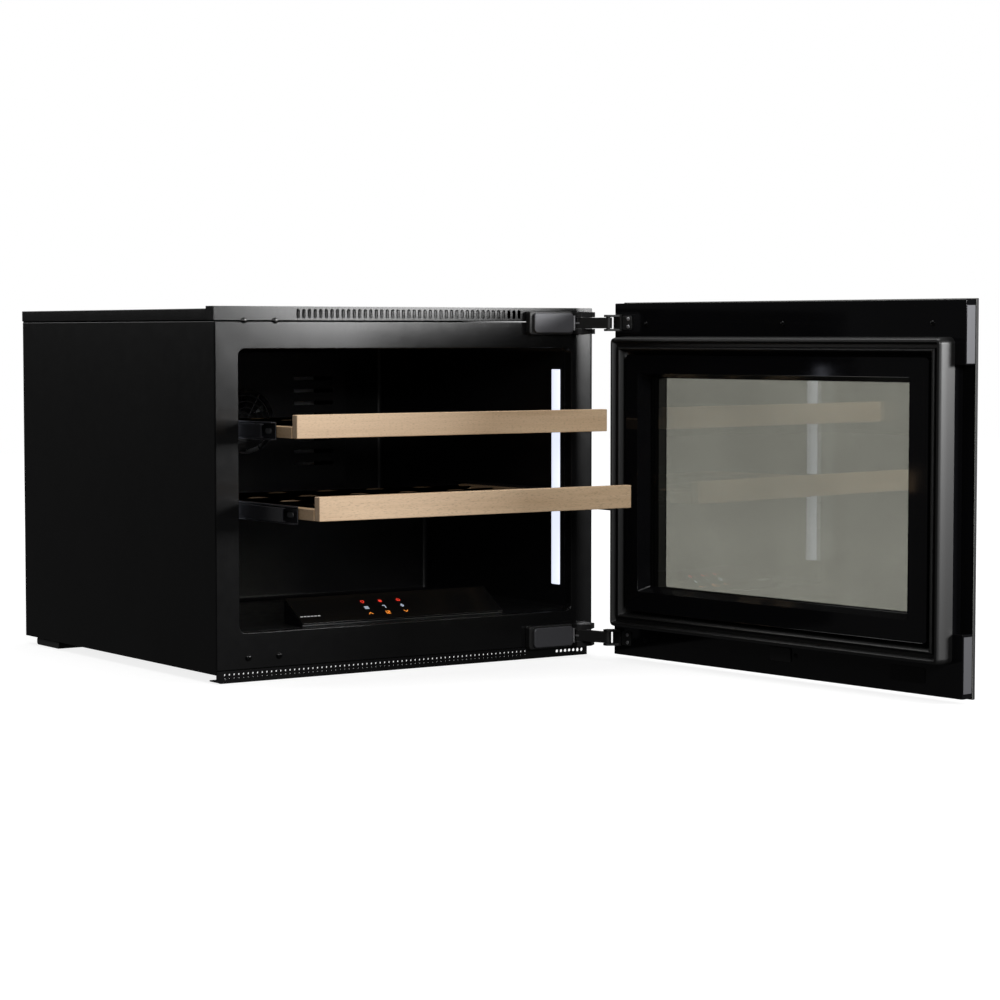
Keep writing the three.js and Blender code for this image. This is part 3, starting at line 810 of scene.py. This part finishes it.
@dataclass
class Casing:
    """Outer sheets, front frame, trims, feet and the screws that hold them."""

    front_screws: Sequence[Point] = ((-239.5, 437.4), (-196.5, 437.4), (-235.7, 29.0), (-192.7, 29.0))
    hole_pitch: float = 6.5
    hole_rows: Sequence[float] = (10.4, 5.0)
    easing: dict[str, float] = field(default_factory=lambda: {
        "side_panel_left": 0.8, "side_panel_right": 0.8, "top_panel": 1.1, "front_frame": 1.1,
        "top_vent_trim": 0.35, "rear_panel": 0.3, "rear_grille": 0.3, "base_pan": 0.3,
    })

    def plinth(self) -> None:
        """Cuts the two rows of small air holes into the plinth strip."""
        count = int((184 + 268) / self.hole_pitch)
        places = [(-268 + i * self.hole_pitch, row) for row in self.hole_rows for i in range(count)]
        cutter = together(peg(x, z, 1.35, -1, 3) for x, z in places)
        plate = carved(cad_copy("plinth_grille"), cutter)
        CABINET.piece("plinth_grille_finished", plate, CASE_PAINT, "cabinet", ["plinth_grille"])

    def build(self) -> None:
        """Makes every piece of the casing."""
        for node, width in self.easing.items():
            CABINET.eased(node, CASE_PAINT, "cabinet", width)
        self.plinth()
        for side, sign in SIDES:
            CABINET.eased(f"rear_foot_{side}", FOOT_RUBBER, "cabinet", 1.0)
            rear = [screw((sign * x, span("rear_panel").hi.y, z), (0, 1, 0), 3.4, 1.6)
                    for x, z in ((272, 440), (272, 200), (272, 172), (272, 34), (90, 440), (90, 192), (90, 172))]
            CABINET.piece(f"rear_screws_{side}", together(rear), SCREW_BLACK, "cabinet")
        front = [screw((x, 0, z), (0, -1, 0), 3.8, 2.4) for x, z in self.front_screws]
        CABINET.piece("front_screws", together(front), SCREW_BLACK, "cabinet")


@dataclass
class FanWheel:
    """Axial fan wheel: a domed hub with twisted blades."""

    node: str
    body: str
    hub: float
    tip: float
    blades: int
    chord: float

    def blade(self) -> bmesh.types.BMesh:
        """Returns: one blade, standing out along +X from an axle on Z."""
        mesh = bmesh.new()
        bmesh.ops.create_grid(mesh, x_segments=7, y_segments=4, size=0.5)
        for vert in mesh.verts:
            share = vert.co.x + 0.5
            radius = self.hub - 1.5 + share * (self.tip - self.hub + 1.5)
            across = vert.co.y * self.chord * (0.8 + 0.35 * share)
            angle = across / radius
            pitch = math.radians(46 - 20 * share)
            camber = 1.2 * (1 - (2 * vert.co.y) ** 2)
            vert.co = (radius * math.cos(angle), radius * math.sin(angle), across * math.tan(pitch) * 0.6 + camber)
        bmesh.ops.recalc_face_normals(mesh, faces=mesh.faces)
        bmesh.ops.solidify(mesh, geom=mesh.faces[:], thickness=1.4)
        return mesh

    def build(self) -> None:
        """Makes the wheel."""
        box = span(self.node)
        half = (box.hi.y - box.lo.y) / 2
        dome = [(0, half), (self.hub * 0.5, half - 0.3), (self.hub - 1.6, half - 1.4), (self.hub, half - 3.4),
                (self.hub, -half + 0.6), (self.hub - 0.6, -half), (0, -half)]
        parts = [turned(dome, 40)]
        for index in range(self.blades):
            parts.append(moved(self.blade(), Matrix.Rotation(math.tau * index / self.blades, 4, "Z")))
        pos = next(j["pos_m"] for j in frame["joints"] if j["name"] == f"{self.node}_spin")
        centre = CABINET_TO_ROW.inverted() @ Vector(pos)
        wheel = moved(together(parts), facing((0, -1, 0), (centre.x, box.middle.y, centre.z)))
        CABINET.piece(f"{self.node}_finished", wheel, FAN_PLASTIC, self.body, [self.node])


@dataclass
class ColdCavity:
    """Liner, light strips, air duct with its fan, and the cold plate."""

    guard_rings: Sequence[float] = (11.5, 20.0, 28.5, 37.0, 45.4)

    def liner(self) -> None:
        """Rounds the inner corners of the liner."""
        mesh = cad_copy("inner_liner")
        box = span("inner_liner")
        corner_radius, front = 6.6, box.lo.y + 0.2
        step_back, step_top = 352, 188  # outer faces of the step over the compressor

        def sharp(edge: bmesh.types.BMEdge) -> bool:
            """Args: edge: a liner edge. Returns: whether it is on the outside or on the front rim."""
            at_rim = all(v.co.y < front for v in edge.verts)
            outside = any(abs(v.co.x) > box.hi.x - 1 or v.co.z > box.hi.z - 1 or v.co.z < box.lo.z + 1
                          or v.co.y > box.hi.y - 1 for v in edge.verts)
            step = any(abs(v.co.y - step_back) < 0.4 or abs(v.co.z - step_top) < 0.4 for v in edge.verts)
            return at_rim or outside or step

        soften(mesh, corner_radius, 5, keep=sharp)
        CABINET.piece("inner_liner_finished", mesh, LINER, "cabinet", ["inner_liner"])

    def light_strip(self, side: str, sign: int) -> None:
        """Args: side: its name. sign: which way x goes."""
        box = span(f"led_strip_{side}")
        wall = sign * max(abs(box.lo.x), abs(box.hi.x))
        seat = wall - sign * 1.5
        channel = pulled(rounded(box.lo.y, box.hi.y, box.lo.z, box.hi.z, 3), Axis.X, *sorted((wall, seat)))
        CABINET.piece(f"light_channel_{side}", soften(channel, 0.4), LINER, "cabinet")
        middle, half = box.middle.y, 9.5
        arch = [(seat - sign * 2.1 * math.sin(t), middle - half * math.cos(t))
                for t in (math.pi * i / 10 for i in range(11))]
        lens = soften(pulled(arch, Axis.Z, box.lo.z + 3, box.hi.z - 3), 0.5, 2, 60)
        CABINET.piece(f"light_diffuser_{side}", lens, DIFFUSER, "cabinet", [f"led_strip_{side}"])

    def fan_guard(self) -> None:
        """Makes the wire guard in the duct's opening."""
        box = span("air_duct_cover")
        centre = (0, box.lo.y + 1.2, 300)
        square = [(-0.8, -0.8), (0.8, -0.8), (0.8, 0.8), (-0.8, 0.8)]
        parts = [moved(ring(square, radius), facing((0, -1, 0), centre)) for radius in self.guard_rings]
        for index in range(6):
            way = Vector((math.cos(math.tau * index / 6), 0, math.sin(math.tau * index / 6)))
            parts.append(rod(Vector(centre) + way * 6, Vector(centre) + way * 46.5, 0.9, 0.2, 8))
        parts.append(moved(turned([(0, 1.4), (5, 1.2), (7, 0), (7, -0.8), (0, -0.8)], 24),
                           facing((0, -1, 0), centre)))
        CABINET.piece("fan_guard", together(parts), FAN_PLASTIC, "cabinet")

    def build(self) -> None:
        """Makes every piece of the cavity."""
        self.liner()
        for side, sign in SIDES:
            self.light_strip(side, sign)
        CABINET.eased("air_duct_cover", LINER, "cabinet", 0.5)
        self.fan_guard()
        CABINET.eased("evaporator_plate", ALUMINIUM, "cabinet", 0.4)
        CABINET.dress("insulation_foam", FOAM)
        FanWheel("circulation_fan", "circulation_fan_wheel", 16, 41.8, 7, 26).build()


Stroke = tuple[float, float, float, float]


class Glyph(Enum):
    """Plain line symbols, as strokes in a field 6 mm wide and high."""

    RAISE = ((-2.2, -1, 0, 1.4), (0, 1.4, 2.2, -1))
    LOWER = ((-2.2, 1.4, 0, -1), (0, -1, 2.2, 1.4))
    LAMP = ((-1.6, 1.8, 1.6, 1.8), (-1.6, 1.8, -1.6, 0), (1.6, 1.8, 1.6, 0), (-1.6, 0, 0, -1.6), (1.6, 0, 0, -1.6))
    POWER = ((0, 0, 0, 2.4), (-1.2, 1.4, -2, 0), (-2, 0, -1.2, -1.5), (-1.2, -1.5, 1.2, -1.5), (1.2, -1.5, 2, 0),
             (2, 0, 1.2, 1.4))
    BARS = ((-2.2, 1.6, 2.2, 1.6), (-2.2, 0, 2.2, 0), (-2.2, -1.6, 2.2, -1.6))
    CROSS = ((-2, 0, 2, 0), (0, -2, 0, 2), (-1.4, -1.4, 1.4, 1.4), (-1.4, 1.4, 1.4, -1.4))
    DROP = ((0, 2.2, -1.5, 0), (0, 2.2, 1.5, 0), (-1.5, 0, 0, -1.8), (1.5, 0, 0, -1.8))
    TWELVE = ((-2.2, -2, -2.2, 2), (-0.6, 2, 1.8, 2), (1.8, 2, 1.8, 0), (1.8, 0, -0.6, 0), (-0.6, 0, -0.6, -2),
              (-0.6, -2, 1.8, -2))
    SEVEN = ((-1.2, 2, 1.2, 2), (1.2, 2, 1.2, -2))


@dataclass
class ControlPanel:
    """Sloping panel on the cavity's floor, with lit symbols."""

    columns: Sequence[float] = (-45, -19, 8)
    rows: Sequence[float] = (12, 24, 36)
    foot: Point = (17, 62)  # y and z of the panel's front edge
    slope: Point = (45, 28)  # how far it runs back and up
    glass_height: float = 2.32
    glyphs: Sequence[Glyph] = (Glyph.RAISE, Glyph.BARS, Glyph.LAMP, Glyph.TWELVE, Glyph.SEVEN, Glyph.CROSS,
                               Glyph.LOWER, Glyph.DROP, Glyph.POWER)

    def stroke(self, line: Stroke, width: float) -> bmesh.types.BMesh:
        """Makes one stroke of a symbol.

        Args:
            line: its two ends.
            width: of the stroke.
        Returns:
            A thin bar lying on z = 0.
        """
        start, end = Vector((line[0], line[1], 0)), Vector((line[2], line[3], 0))
        length = (end - start).length + width
        bar = pulled(rounded(-length / 2, length / 2, -width / 2, width / 2, width * 0.45, 2), Axis.Z, 0, 0.12)
        angle = math.atan2(line[3] - line[1], line[2] - line[0])
        return moved(bar, Matrix.Translation((start + end) / 2) @ Matrix.Rotation(angle, 4, "Z"))

    def build(self) -> None:
        """Makes the panel and its symbols."""
        CABINET.eased("control_housing", LINER, "cabinet", 0.6)
        CABINET.eased("control_glass", PANEL_GLASS, "cabinet", 0.4)
        rise = Vector((0, *self.slope)).normalized()
        out = Vector((0, -rise.z, rise.y))
        origin = Vector((0, *self.foot)) + out * self.glass_height
        plane = Matrix.Translation(origin) @ Matrix((
            (1, 0, 0, 0), (0, rise.y, out.y, 0), (0, rise.z, out.z, 0), (0, 0, 0, 1)))
        inks = (INK_AMBER, INK_WHITE, INK_RED)
        for index, glyph in enumerate(self.glyphs):
            u, v = self.columns[index // 3], self.rows[index % 3]
            strokes = together(self.stroke(line, 0.8) for line in glyph.value)
            mark = moved(strokes, plane @ Matrix.Translation((u, v, 0)) @ Matrix.Scale(1.25, 4))
            ink = INK_AMBER if index in (0, 3, 6) else inks[index % 3]
            CABINET.piece(f"panel_symbol_{index + 1}", mark, ink, "cabinet")
        dashes = together(self.stroke((x, 0, x + 2.4, 0), 1.5) for x in range(-146, -118, 5))
        CABINET.piece("panel_level_marks", moved(dashes, plane @ Matrix.Translation((0, 14, 0))), INK_GREY, "cabinet")


@dataclass
class Hinges:
    """Hinge housings and covers on the front frame, brackets, pins, links and the brackets on the door."""

    middles: dict[str, float] = field(default_factory=lambda: {"upper": 435.5, "lower": 28.0})
    pivot: Point = (251.3, -15.0)

    def level(self, level: str) -> None:
        """Args: level: upper or lower."""
        z = self.middles[level]
        CABINET.eased(f"hinge_housing_{level}", HINGE_STEEL, "cabinet", 1.2, 3)
        CABINET.eased(f"hinge_cover_{level}", HINGE_SATIN, "cabinet", 1.1, 3)
        CABINET.eased(f"hinge_bracket_{level}", HINGE_STEEL, "cabinet", 0.6)
        CABINET.eased(f"hinge_pin_{level}", PIN_STEEL, "cabinet", 0.4)
        CABINET.eased(f"hinge_arm_{level}", HINGE_STEEL, "hinge_arms", 1.2, 3)
        CABINET.eased(f"door_bracket_{level}", HINGE_STEEL, "door", 0.5)
        section = [(-1.6, -0.24), (1.6, -0.24), (1.6, 0.24), (-1.6, 0.24)]
        washers = [moved(ring(section, 4.5, 32), Matrix.Translation((*self.pivot, z + lift))) for lift in (7.3, -7.3)]
        CABINET.piece(f"hinge_washers_{level}", together(washers), PIN_STEEL, "cabinet")
        collar = ring([(-0.2, -1.2), (0.3, -0.9), (0.3, 0.9), (-0.2, 1.2)], 6.6, 32)
        CABINET.piece(f"hinge_arm_collar_{level}", moved(collar, Matrix.Translation((*self.pivot, z))), PIN_STEEL,
                      "hinge_arms")
        slip = soften(block((241.2, -13.8, z - 9.5), (243.4, -10.1, z + 9.5)), 0.4)
        CABINET.piece(f"hinge_slip_{level}", slip, PIN_STEEL, "cabinet")
        screws = [screw((269.5, -3.0, z + lift), (0, -1, 0), 2.4, 1.0) for lift in (4.2, -4.2)]
        CABINET.piece(f"hinge_bracket_screws_{level}", together(screws), PIN_STEEL, "cabinet")
        plate_thickness = 1.6
        plate = soften(pulled(rounded(-34, -16.5, z - 9, z + 9, 2.5), Axis.Y, 0.02, plate_thickness), 0.4)
        DOOR.piece(f"door_hinge_plate_{level}", plate, HINGE_STEEL, "door")
        bolts = [screw((-28, plate_thickness, z + lift), (0, 1, 0), 2.5, 1.1) for lift in (5, -5)]
        DOOR.piece(f"door_hinge_screws_{level}", together(bolts), PIN_STEEL, "door")

    def build(self) -> None:
        """Makes both hinges."""
        for level in LEVELS:
            self.level(level)


def door_copy(node: str) -> bmesh.types.BMesh:
    """Args: node: a CAD node of the door. Returns: its mesh in the door's own millimetres."""
    return moved(cad_copy(node), DOOR_TO_ROW.inverted() @ CABINET_TO_ROW)


@dataclass
class Door:
    """Glass front, frame behind it, inner pane with its moulded frame, and the gasket."""

    gasket_outline: tuple[float, float, float, float] = (-574, -16, 44, 418)
    gasket_section: Sequence[Point] = ((0, 0.3), (0.4, 12), (1.2, 20), (2.2, 23.4), (3.6, 24.5), (5.6, 24.5),
                                       (7.0, 22.8), (8.4, 18), (12.2, 18), (13.6, 21), (15.4, 21.8), (17.0, 20.6),
                                       (18.2, 14), (20.6, 10), (22.4, 9.4), (22.9, 8.4), (22.9, 0.3))
    window: tuple[float, float, float, float] = (-514.5, -80.5, 98, 366)

    def bezel(self) -> None:
        """Slopes the moulded frame's inner edge down to the pane."""
        mesh = door_copy("door_plug_frame")
        x0, x1, z0, z1 = self.window
        middle = Vector(((x0 + x1) / 2, 0, (z0 + z1) / 2))
        slope, near_extra = 6.0, 11.5
        for vert in mesh.verts:
            at_window = x0 - 1 < vert.co.x < x1 + 1 and z0 - 1 < vert.co.z < z1 + 1
            if at_window and vert.co.x > middle.x:
                vert.co.x += near_extra
            if at_window and vert.co.y > 10:
                vert.co.x += math.copysign(slope, vert.co.x - middle.x)
                vert.co.z += math.copysign(slope, vert.co.z - middle.z)
        DOOR.piece("door_plug_frame_finished", soften(mesh, 0.9, 3, 30), DOOR_GLOSS, "door", ["door_plug_frame"])

    def print_border(self) -> None:
        """Makes the black print behind the glass, open at the window."""
        x0, x1, z0, z1 = self.window
        sheet = pulled(rounded(-589.6, -0.4, 5.2, 461.2, 1), Axis.Y, -17.18, -16.94)
        hole = pulled(rounded(x0, x1, z0, z1, 2), Axis.Y, -18, -16)
        DOOR.piece("door_print_border", carved(sheet, hole), DOOR_GLOSS, "door")

    def edge_seal(self) -> None:
        """Makes the black band round the edge of the outer glass."""
        band = pulled(rounded(-590.3, 0.3, 4.5, 461.9, 0.8), Axis.Y, -20.7, -17.0)
        hole = pulled(rounded(-589.98, -0.02, 4.82, 461.58, 0.5), Axis.Y, -22, -16)
        DOOR.piece("door_edge_seal", carved(band, hole), SPACER, "door")

    def spacer(self) -> None:
        """Makes the bar that holds the pane apart from the glass."""
        x0, x1, z0, z1 = self.window
        bar = pulled(rounded(x0 - 8, x1 + 8, z0 - 8, z1 + 8, 3), Axis.Y, -16.85, -4.6)
        hole = pulled(rounded(x0 - 1, x1 + 1, z0 - 1, z1 + 1, 2), Axis.Y, -18, -3)
        DOOR.piece("pane_spacer", carved(bar, hole), SPACER, "door")

    def fittings(self) -> None:
        """Makes lighter satin strips on the free end that paint the sheen of its glossy end face (a painted
        highlight), the catch plate and the blanking patch.
        """
        # Painted highlight: lighter satin strips on the free end stand for the sheen of the door's glossy black end
        # face.
        strips = [soften(block((-589.95, -15.5, z0), (-589.35, -1.5, z1)), 0.15) for z0, z1 in ((388, 454), (12, 77))]
        DOOR.piece("door_end_sheen_strips", together(strips), HINGE_SATIN, "door")
        catch = soften(pulled(rounded(-320, -285, 24, 41, 3), Axis.Y, 0.02, 1.8), 0.5)
        DOOR.piece("door_catch_plate", catch, HINGE_STEEL, "door")
        screws = [screw((x, 0, z), (0, 1, 0), 3.0, 1.2) for x, z in
                  ((-327, 32.3), (-302, 433.6), (-60, 433.6), (-540, 433.6), (-60, 28.5))]
        DOOR.piece("door_frame_screws", together(screws), SCREW_BLACK, "door")
        patch = soften(pulled(rounded(-534, -480, 19, 37, 3), Axis.Y, 0.02, 0.8), 0.25)
        DOOR.piece("door_blanking_patch", patch, SCREW_BLACK, "door")

    def build(self) -> None:
        """Makes every piece of the door."""
        CABINET.eased("door_outer_glass", DOOR_PANE, "door", 0.6)
        CABINET.eased("door_inner_glass", DOOR_PANE, "door", 0.3)
        CABINET.eased("door_frame", DOOR_GLOSS, "door", 0.9)
        self.print_border()
        self.edge_seal()
        self.spacer()
        self.bezel()
        lip = swept_frame(self.gasket_outline, 8, self.gasket_section)
        DOOR.piece("door_gasket_finished", lip, RUBBER, "door", ["door_gasket"], 45)
        self.fittings()


@dataclass
class SlidingShelf:
    """One shelf: front board, rack of bars with bottle cradles, and its slides."""

    level: str
    pitch: float = 75.0
    cradle: float = 5.0
    end_bar: float = 18.0  # from the rack's end to its first cross bar's middle

    def cross_bar(self, y: float, low: float, high: float, half: float) -> bmesh.types.BMesh:
        """Makes a cross bar whose top is scooped out under each bottle.

        Args:
            y: its middle.
            low: its underside.
            high: its top between the scoops.
            half: half of its length.
        Returns:
            The bar.
        """
        count = 6
        points = [(-half, low), (half, low), (half, high)]
        for bottle in reversed(range(count)):
            centre = (bottle - (count - 1) / 2) * self.pitch
            for step in range(9):
                share = 1 - step / 4
                points.append((centre + share * 31, high - self.cradle * (1 - share * share)))
        points.append((-half, high))
        return soften(pulled(points, Axis.Y, y - 14, y + 14), 0.9, 2, 50)

    def rack(self) -> None:
        """Makes the rack's side bars and cross bars."""
        box = span(f"{self.level}_shelf_rack")
        body = f"{self.level}_shelf"
        sides = []
        for sign in (-1, 1):
            outer, inner = sign * box.hi.x, sign * (box.hi.x - 14)
            lo_x, hi_x = sorted((outer, inner))
            sides.append(soften(block((lo_x, box.lo.y, box.lo.z), (hi_x, box.hi.y, box.hi.z)), 1.0))
        CABINET.piece(f"{self.level}_shelf_side_bars", together(sides), SIDE_BEECH, body,
                      [f"{self.level}_shelf_rack"])
        length = box.hi.y - box.lo.y
        for index in range(5):
            y = box.lo.y + self.end_bar + index / 4 * (length - 2 * self.end_bar)
            bar = self.cross_bar(y, box.lo.z + 2, box.hi.z - 1.5, box.hi.x - 13.9)
            CABINET.piece(f"{self.level}_shelf_cross_bar_{index + 1}", bar, BAR_BEECH, body)

    def slides(self) -> None:
        """Makes the three parts of each slide and the screws into the wood."""
        for side, sign in SIDES:
            for part, body in (("fixed", "cabinet"), ("middle", f"{self.level}_runners"),
                               ("shelf", f"{self.level}_shelf")):
                CABINET.eased(f"{self.level}_{part}_rail_{side}", RAIL_STEEL, body, 0.25, 1)
            rail = span(f"{self.level}_shelf_rail_{side}")
            face = sign * (abs(rail.lo.x if sign > 0 else rail.hi.x) + 1.4)
            screws = [screw((face, rail.lo.y + reach, rail.middle.z), (sign, 0, 0), 3.2, 1.2)
                      for reach in (46, 150, 280)]
            CABINET.piece(f"{self.level}_rail_screws_{side}", together(screws), PIN_STEEL, f"{self.level}_shelf")
            slots = [pulled(rounded(rail.lo.y + at, rail.lo.y + at + 14, rail.middle.z - 3.2, rail.middle.z + 3.2, 3),
                            Axis.X, *sorted((face, face + sign * 0.35))) for at in (10, 66)]
            CABINET.piece(f"{self.level}_rail_stampings_{side}", together(slots), PIN_STEEL, f"{self.level}_shelf")

    def build(self) -> None:
        """Makes the shelf."""
        CABINET.eased(f"{self.level}_shelf_board", BOARD_BEECH, f"{self.level}_shelf", 1.0, 3)
        self.rack()
        self.slides()


@dataclass
class MachineCompartment:
    """Compressor, condenser with its fan, drip tray and electrical box at the lower rear."""

    def compressor(self) -> None:
        """Turns the compressor's can with a rolled seam and a domed top."""
        box = span("compressor")
        height = box.hi.z - box.lo.z
        rim, body = 55.0, 52.0
        profile = [(0, 0), (38, 0), (46, 4), (body, 14), (body, height * 0.44), (rim, height * 0.455),
                   (rim, height * 0.495), (body, height * 0.51), (body, height - 27), (50, height - 20),
                   (45, height - 12.5), (36, height - 6.5), (22, height - 1.8), (10, height), (0, height)]
        place = Matrix.Translation((box.middle.x, box.middle.y, box.lo.z))
        CABINET.piece("compressor_finished", moved(turned(profile, 64), place), COMPRESSOR_PAINT, "cabinet",
                      ["compressor"])

    def build(self) -> None:
        """Makes every piece of the compartment."""
        self.compressor()
        CABINET.dress("condenser", ALUMINIUM)
        CABINET.eased("condenser_fan_frame", FAN_PLASTIC, "cabinet", 0.8)
        CABINET.eased("drip_tray", FAN_PLASTIC, "cabinet", 0.5)
        CABINET.eased("power_box", FAN_PLASTIC, "cabinet", 1.2)
        CABINET.eased("mains_inlet", FAN_PLASTIC, "cabinet", 0.8)
        FanWheel("condenser_fan", "condenser_fan_wheel", 18, 43.8, 5, 34).build()
        back = span("mains_inlet").hi.y
        blades = [soften(block((225 + x - 1, back - 1, 38 + z - 2.5), (225 + x + 1, back - 0.1, 38 + z + 2.5)), 0.2)
                  for x, z in ((-6, -2), (6, -2), (0, 2))]
        CABINET.piece("inlet_contacts", together(blades), PIN_STEEL, "cabinet")


# ---------------------------------------------------------------- studio


@dataclass
class Studio:
    """Pale floor, soft lights and the camera."""

    floor_half: float = 6.0

    def floor(self) -> None:
        """Makes the floor."""
        mesh = bmesh.new()
        bmesh.ops.create_grid(mesh, x_segments=1, y_segments=1, size=self.floor_half)
        bmesh.ops.translate(mesh, vec=(0, 0, -0.0006), verts=mesh.verts)
        data = bpy.data.meshes.new("studio_floor")
        mesh.to_mesh(data)
        mesh.free()
        sheet = Sheet("floor_card")
        cloud = sheet.noise((0.5, 0.5, 0.5), 2)
        sheet.link(sheet.ramp(cloud, [(0.3, (0.29, 0.29, 0.29)), (0.7, (0.31, 0.31, 0.31))]),
                   sheet.shader.inputs["Base Color"])
        # Painted light: the floor glows white, at strength 0.84 within 0.7 m of its middle under the cooler, rising to
        # 1.0 by 2.2 m out.
        sheet.set(Roughness=0.9, Specular_IOR_Level=0.0, Emission_Color=(1, 1, 1, 1))
        distance = sheet.add("ShaderNodeVectorMath", operation="LENGTH")
        sheet.link(sheet.coordinates, distance.inputs[0])
        glow = sheet.ranged(distance.outputs["Value"], 0.84, 1.0, 0.7, 2.2)
        sheet.link(glow, sheet.shader.inputs["Emission Strength"])
        data.materials.append(sheet.material)
        thing = bpy.data.objects.new("studio_floor", data)
        bpy.context.scene.collection.objects.link(thing)
        thing.visible_glossy = thing.visible_diffuse = False

    def softbox(self, name: str, place: Triple, target: Triple, size: Point, watts: float) -> None:
        """Makes a rectangular area light.

        Args:
            name: its name.
            place: where it is.
            target: what it points at.
            size: its width and height, in metres.
            watts: its power.
        """
        lamp = bpy.data.lights.new(name, "AREA")
        lamp.shape = "RECTANGLE"
        lamp.size, lamp.size_y = size
        lamp.energy = watts
        thing = bpy.data.objects.new(name, lamp)
        thing.location = place
        thing.rotation_euler = (Vector(target) - Vector(place)).to_track_quat("-Z", "Y").to_euler()
        bpy.context.scene.collection.objects.link(thing)

    def surroundings(self) -> None:
        """Makes a backdrop that the camera sees as white and the object sees as dim."""
        world = bpy.data.worlds.new("surroundings")
        world.use_nodes = True
        tree = world.node_tree
        dim = tree.nodes["Background"]
        dim.inputs["Color"].default_value = (1, 1, 1, 1)
        dim.inputs["Strength"].default_value = 0.05
        bright = tree.nodes.new("ShaderNodeBackground")
        bright.inputs["Color"].default_value = (1, 1, 1, 1)
        path = tree.nodes.new("ShaderNodeLightPath")
        mix = tree.nodes.new("ShaderNodeMixShader")
        tree.links.new(path.outputs["Is Camera Ray"], mix.inputs["Fac"])
        tree.links.new(dim.outputs["Background"], mix.inputs[1])
        tree.links.new(bright.outputs["Background"], mix.inputs[2])
        tree.links.new(mix.outputs["Shader"], tree.nodes["World Output"].inputs["Surface"])
        bpy.context.scene.world = world

    def camera(self) -> None:
        """Makes the camera."""
        data = bpy.data.cameras.new("camera")
        data.lens, data.sensor_width = 98.68, 36
        thing = bpy.data.objects.new("camera", data)
        thing.location = (-1.85333, -2.91565, 0.42157)
        thing.rotation_euler = (math.radians(86.5301), 0, math.radians(-34.4195))
        bpy.context.scene.collection.objects.link(thing)
        bpy.context.scene.camera = thing

    def build(self) -> None:
        """Makes the studio."""
        self.floor()
        self.surroundings()
        self.camera()
        self.softbox("sheen", (2.02, -3.0, 0.80), (0, 0, 0.40), (0.95, 0.56), 88)
        self.softbox("front", (-0.5, -3.3, 1.30), (0, 0, 0.25), (1.4, 0.9), 47)
        self.softbox("top", (0.1, 0.2, 2.6), (0, 0, 0), (2.6, 2.6), 60)
        self.softbox("rear", (1.1, 4.2, 1.6), (0, 0.5, 0.25), (3.0, 2.0), 14)
        self.softbox("side", (-2.4, 4.2, 1.45), (-0.28, 0.3, 0.4), (1.8, 1.2), 30)
        bpy.context.scene.view_settings.view_transform = "Standard"


def main() -> None:
    """Builds the cooler and the studio."""
    logging.basicConfig(level=logging.INFO, format="%(name)s: %(message)s")
    for part in (Casing(), ColdCavity(), ControlPanel(), Hinges(), Door(), SlidingShelf("upper"),
                 SlidingShelf("lower"), MachineCompartment(), Studio()):
        before = len(CABINET.made) + len(DOOR.made)
        part.build()
        log.info("%s: %d pieces", type(part).__name__, len(CABINET.made) + len(DOOR.made) - before)
    for name in (*CABINET.made, *DOOR.made):
        log.info("piece %s", name)


if __name__ == "__main__":
    main()
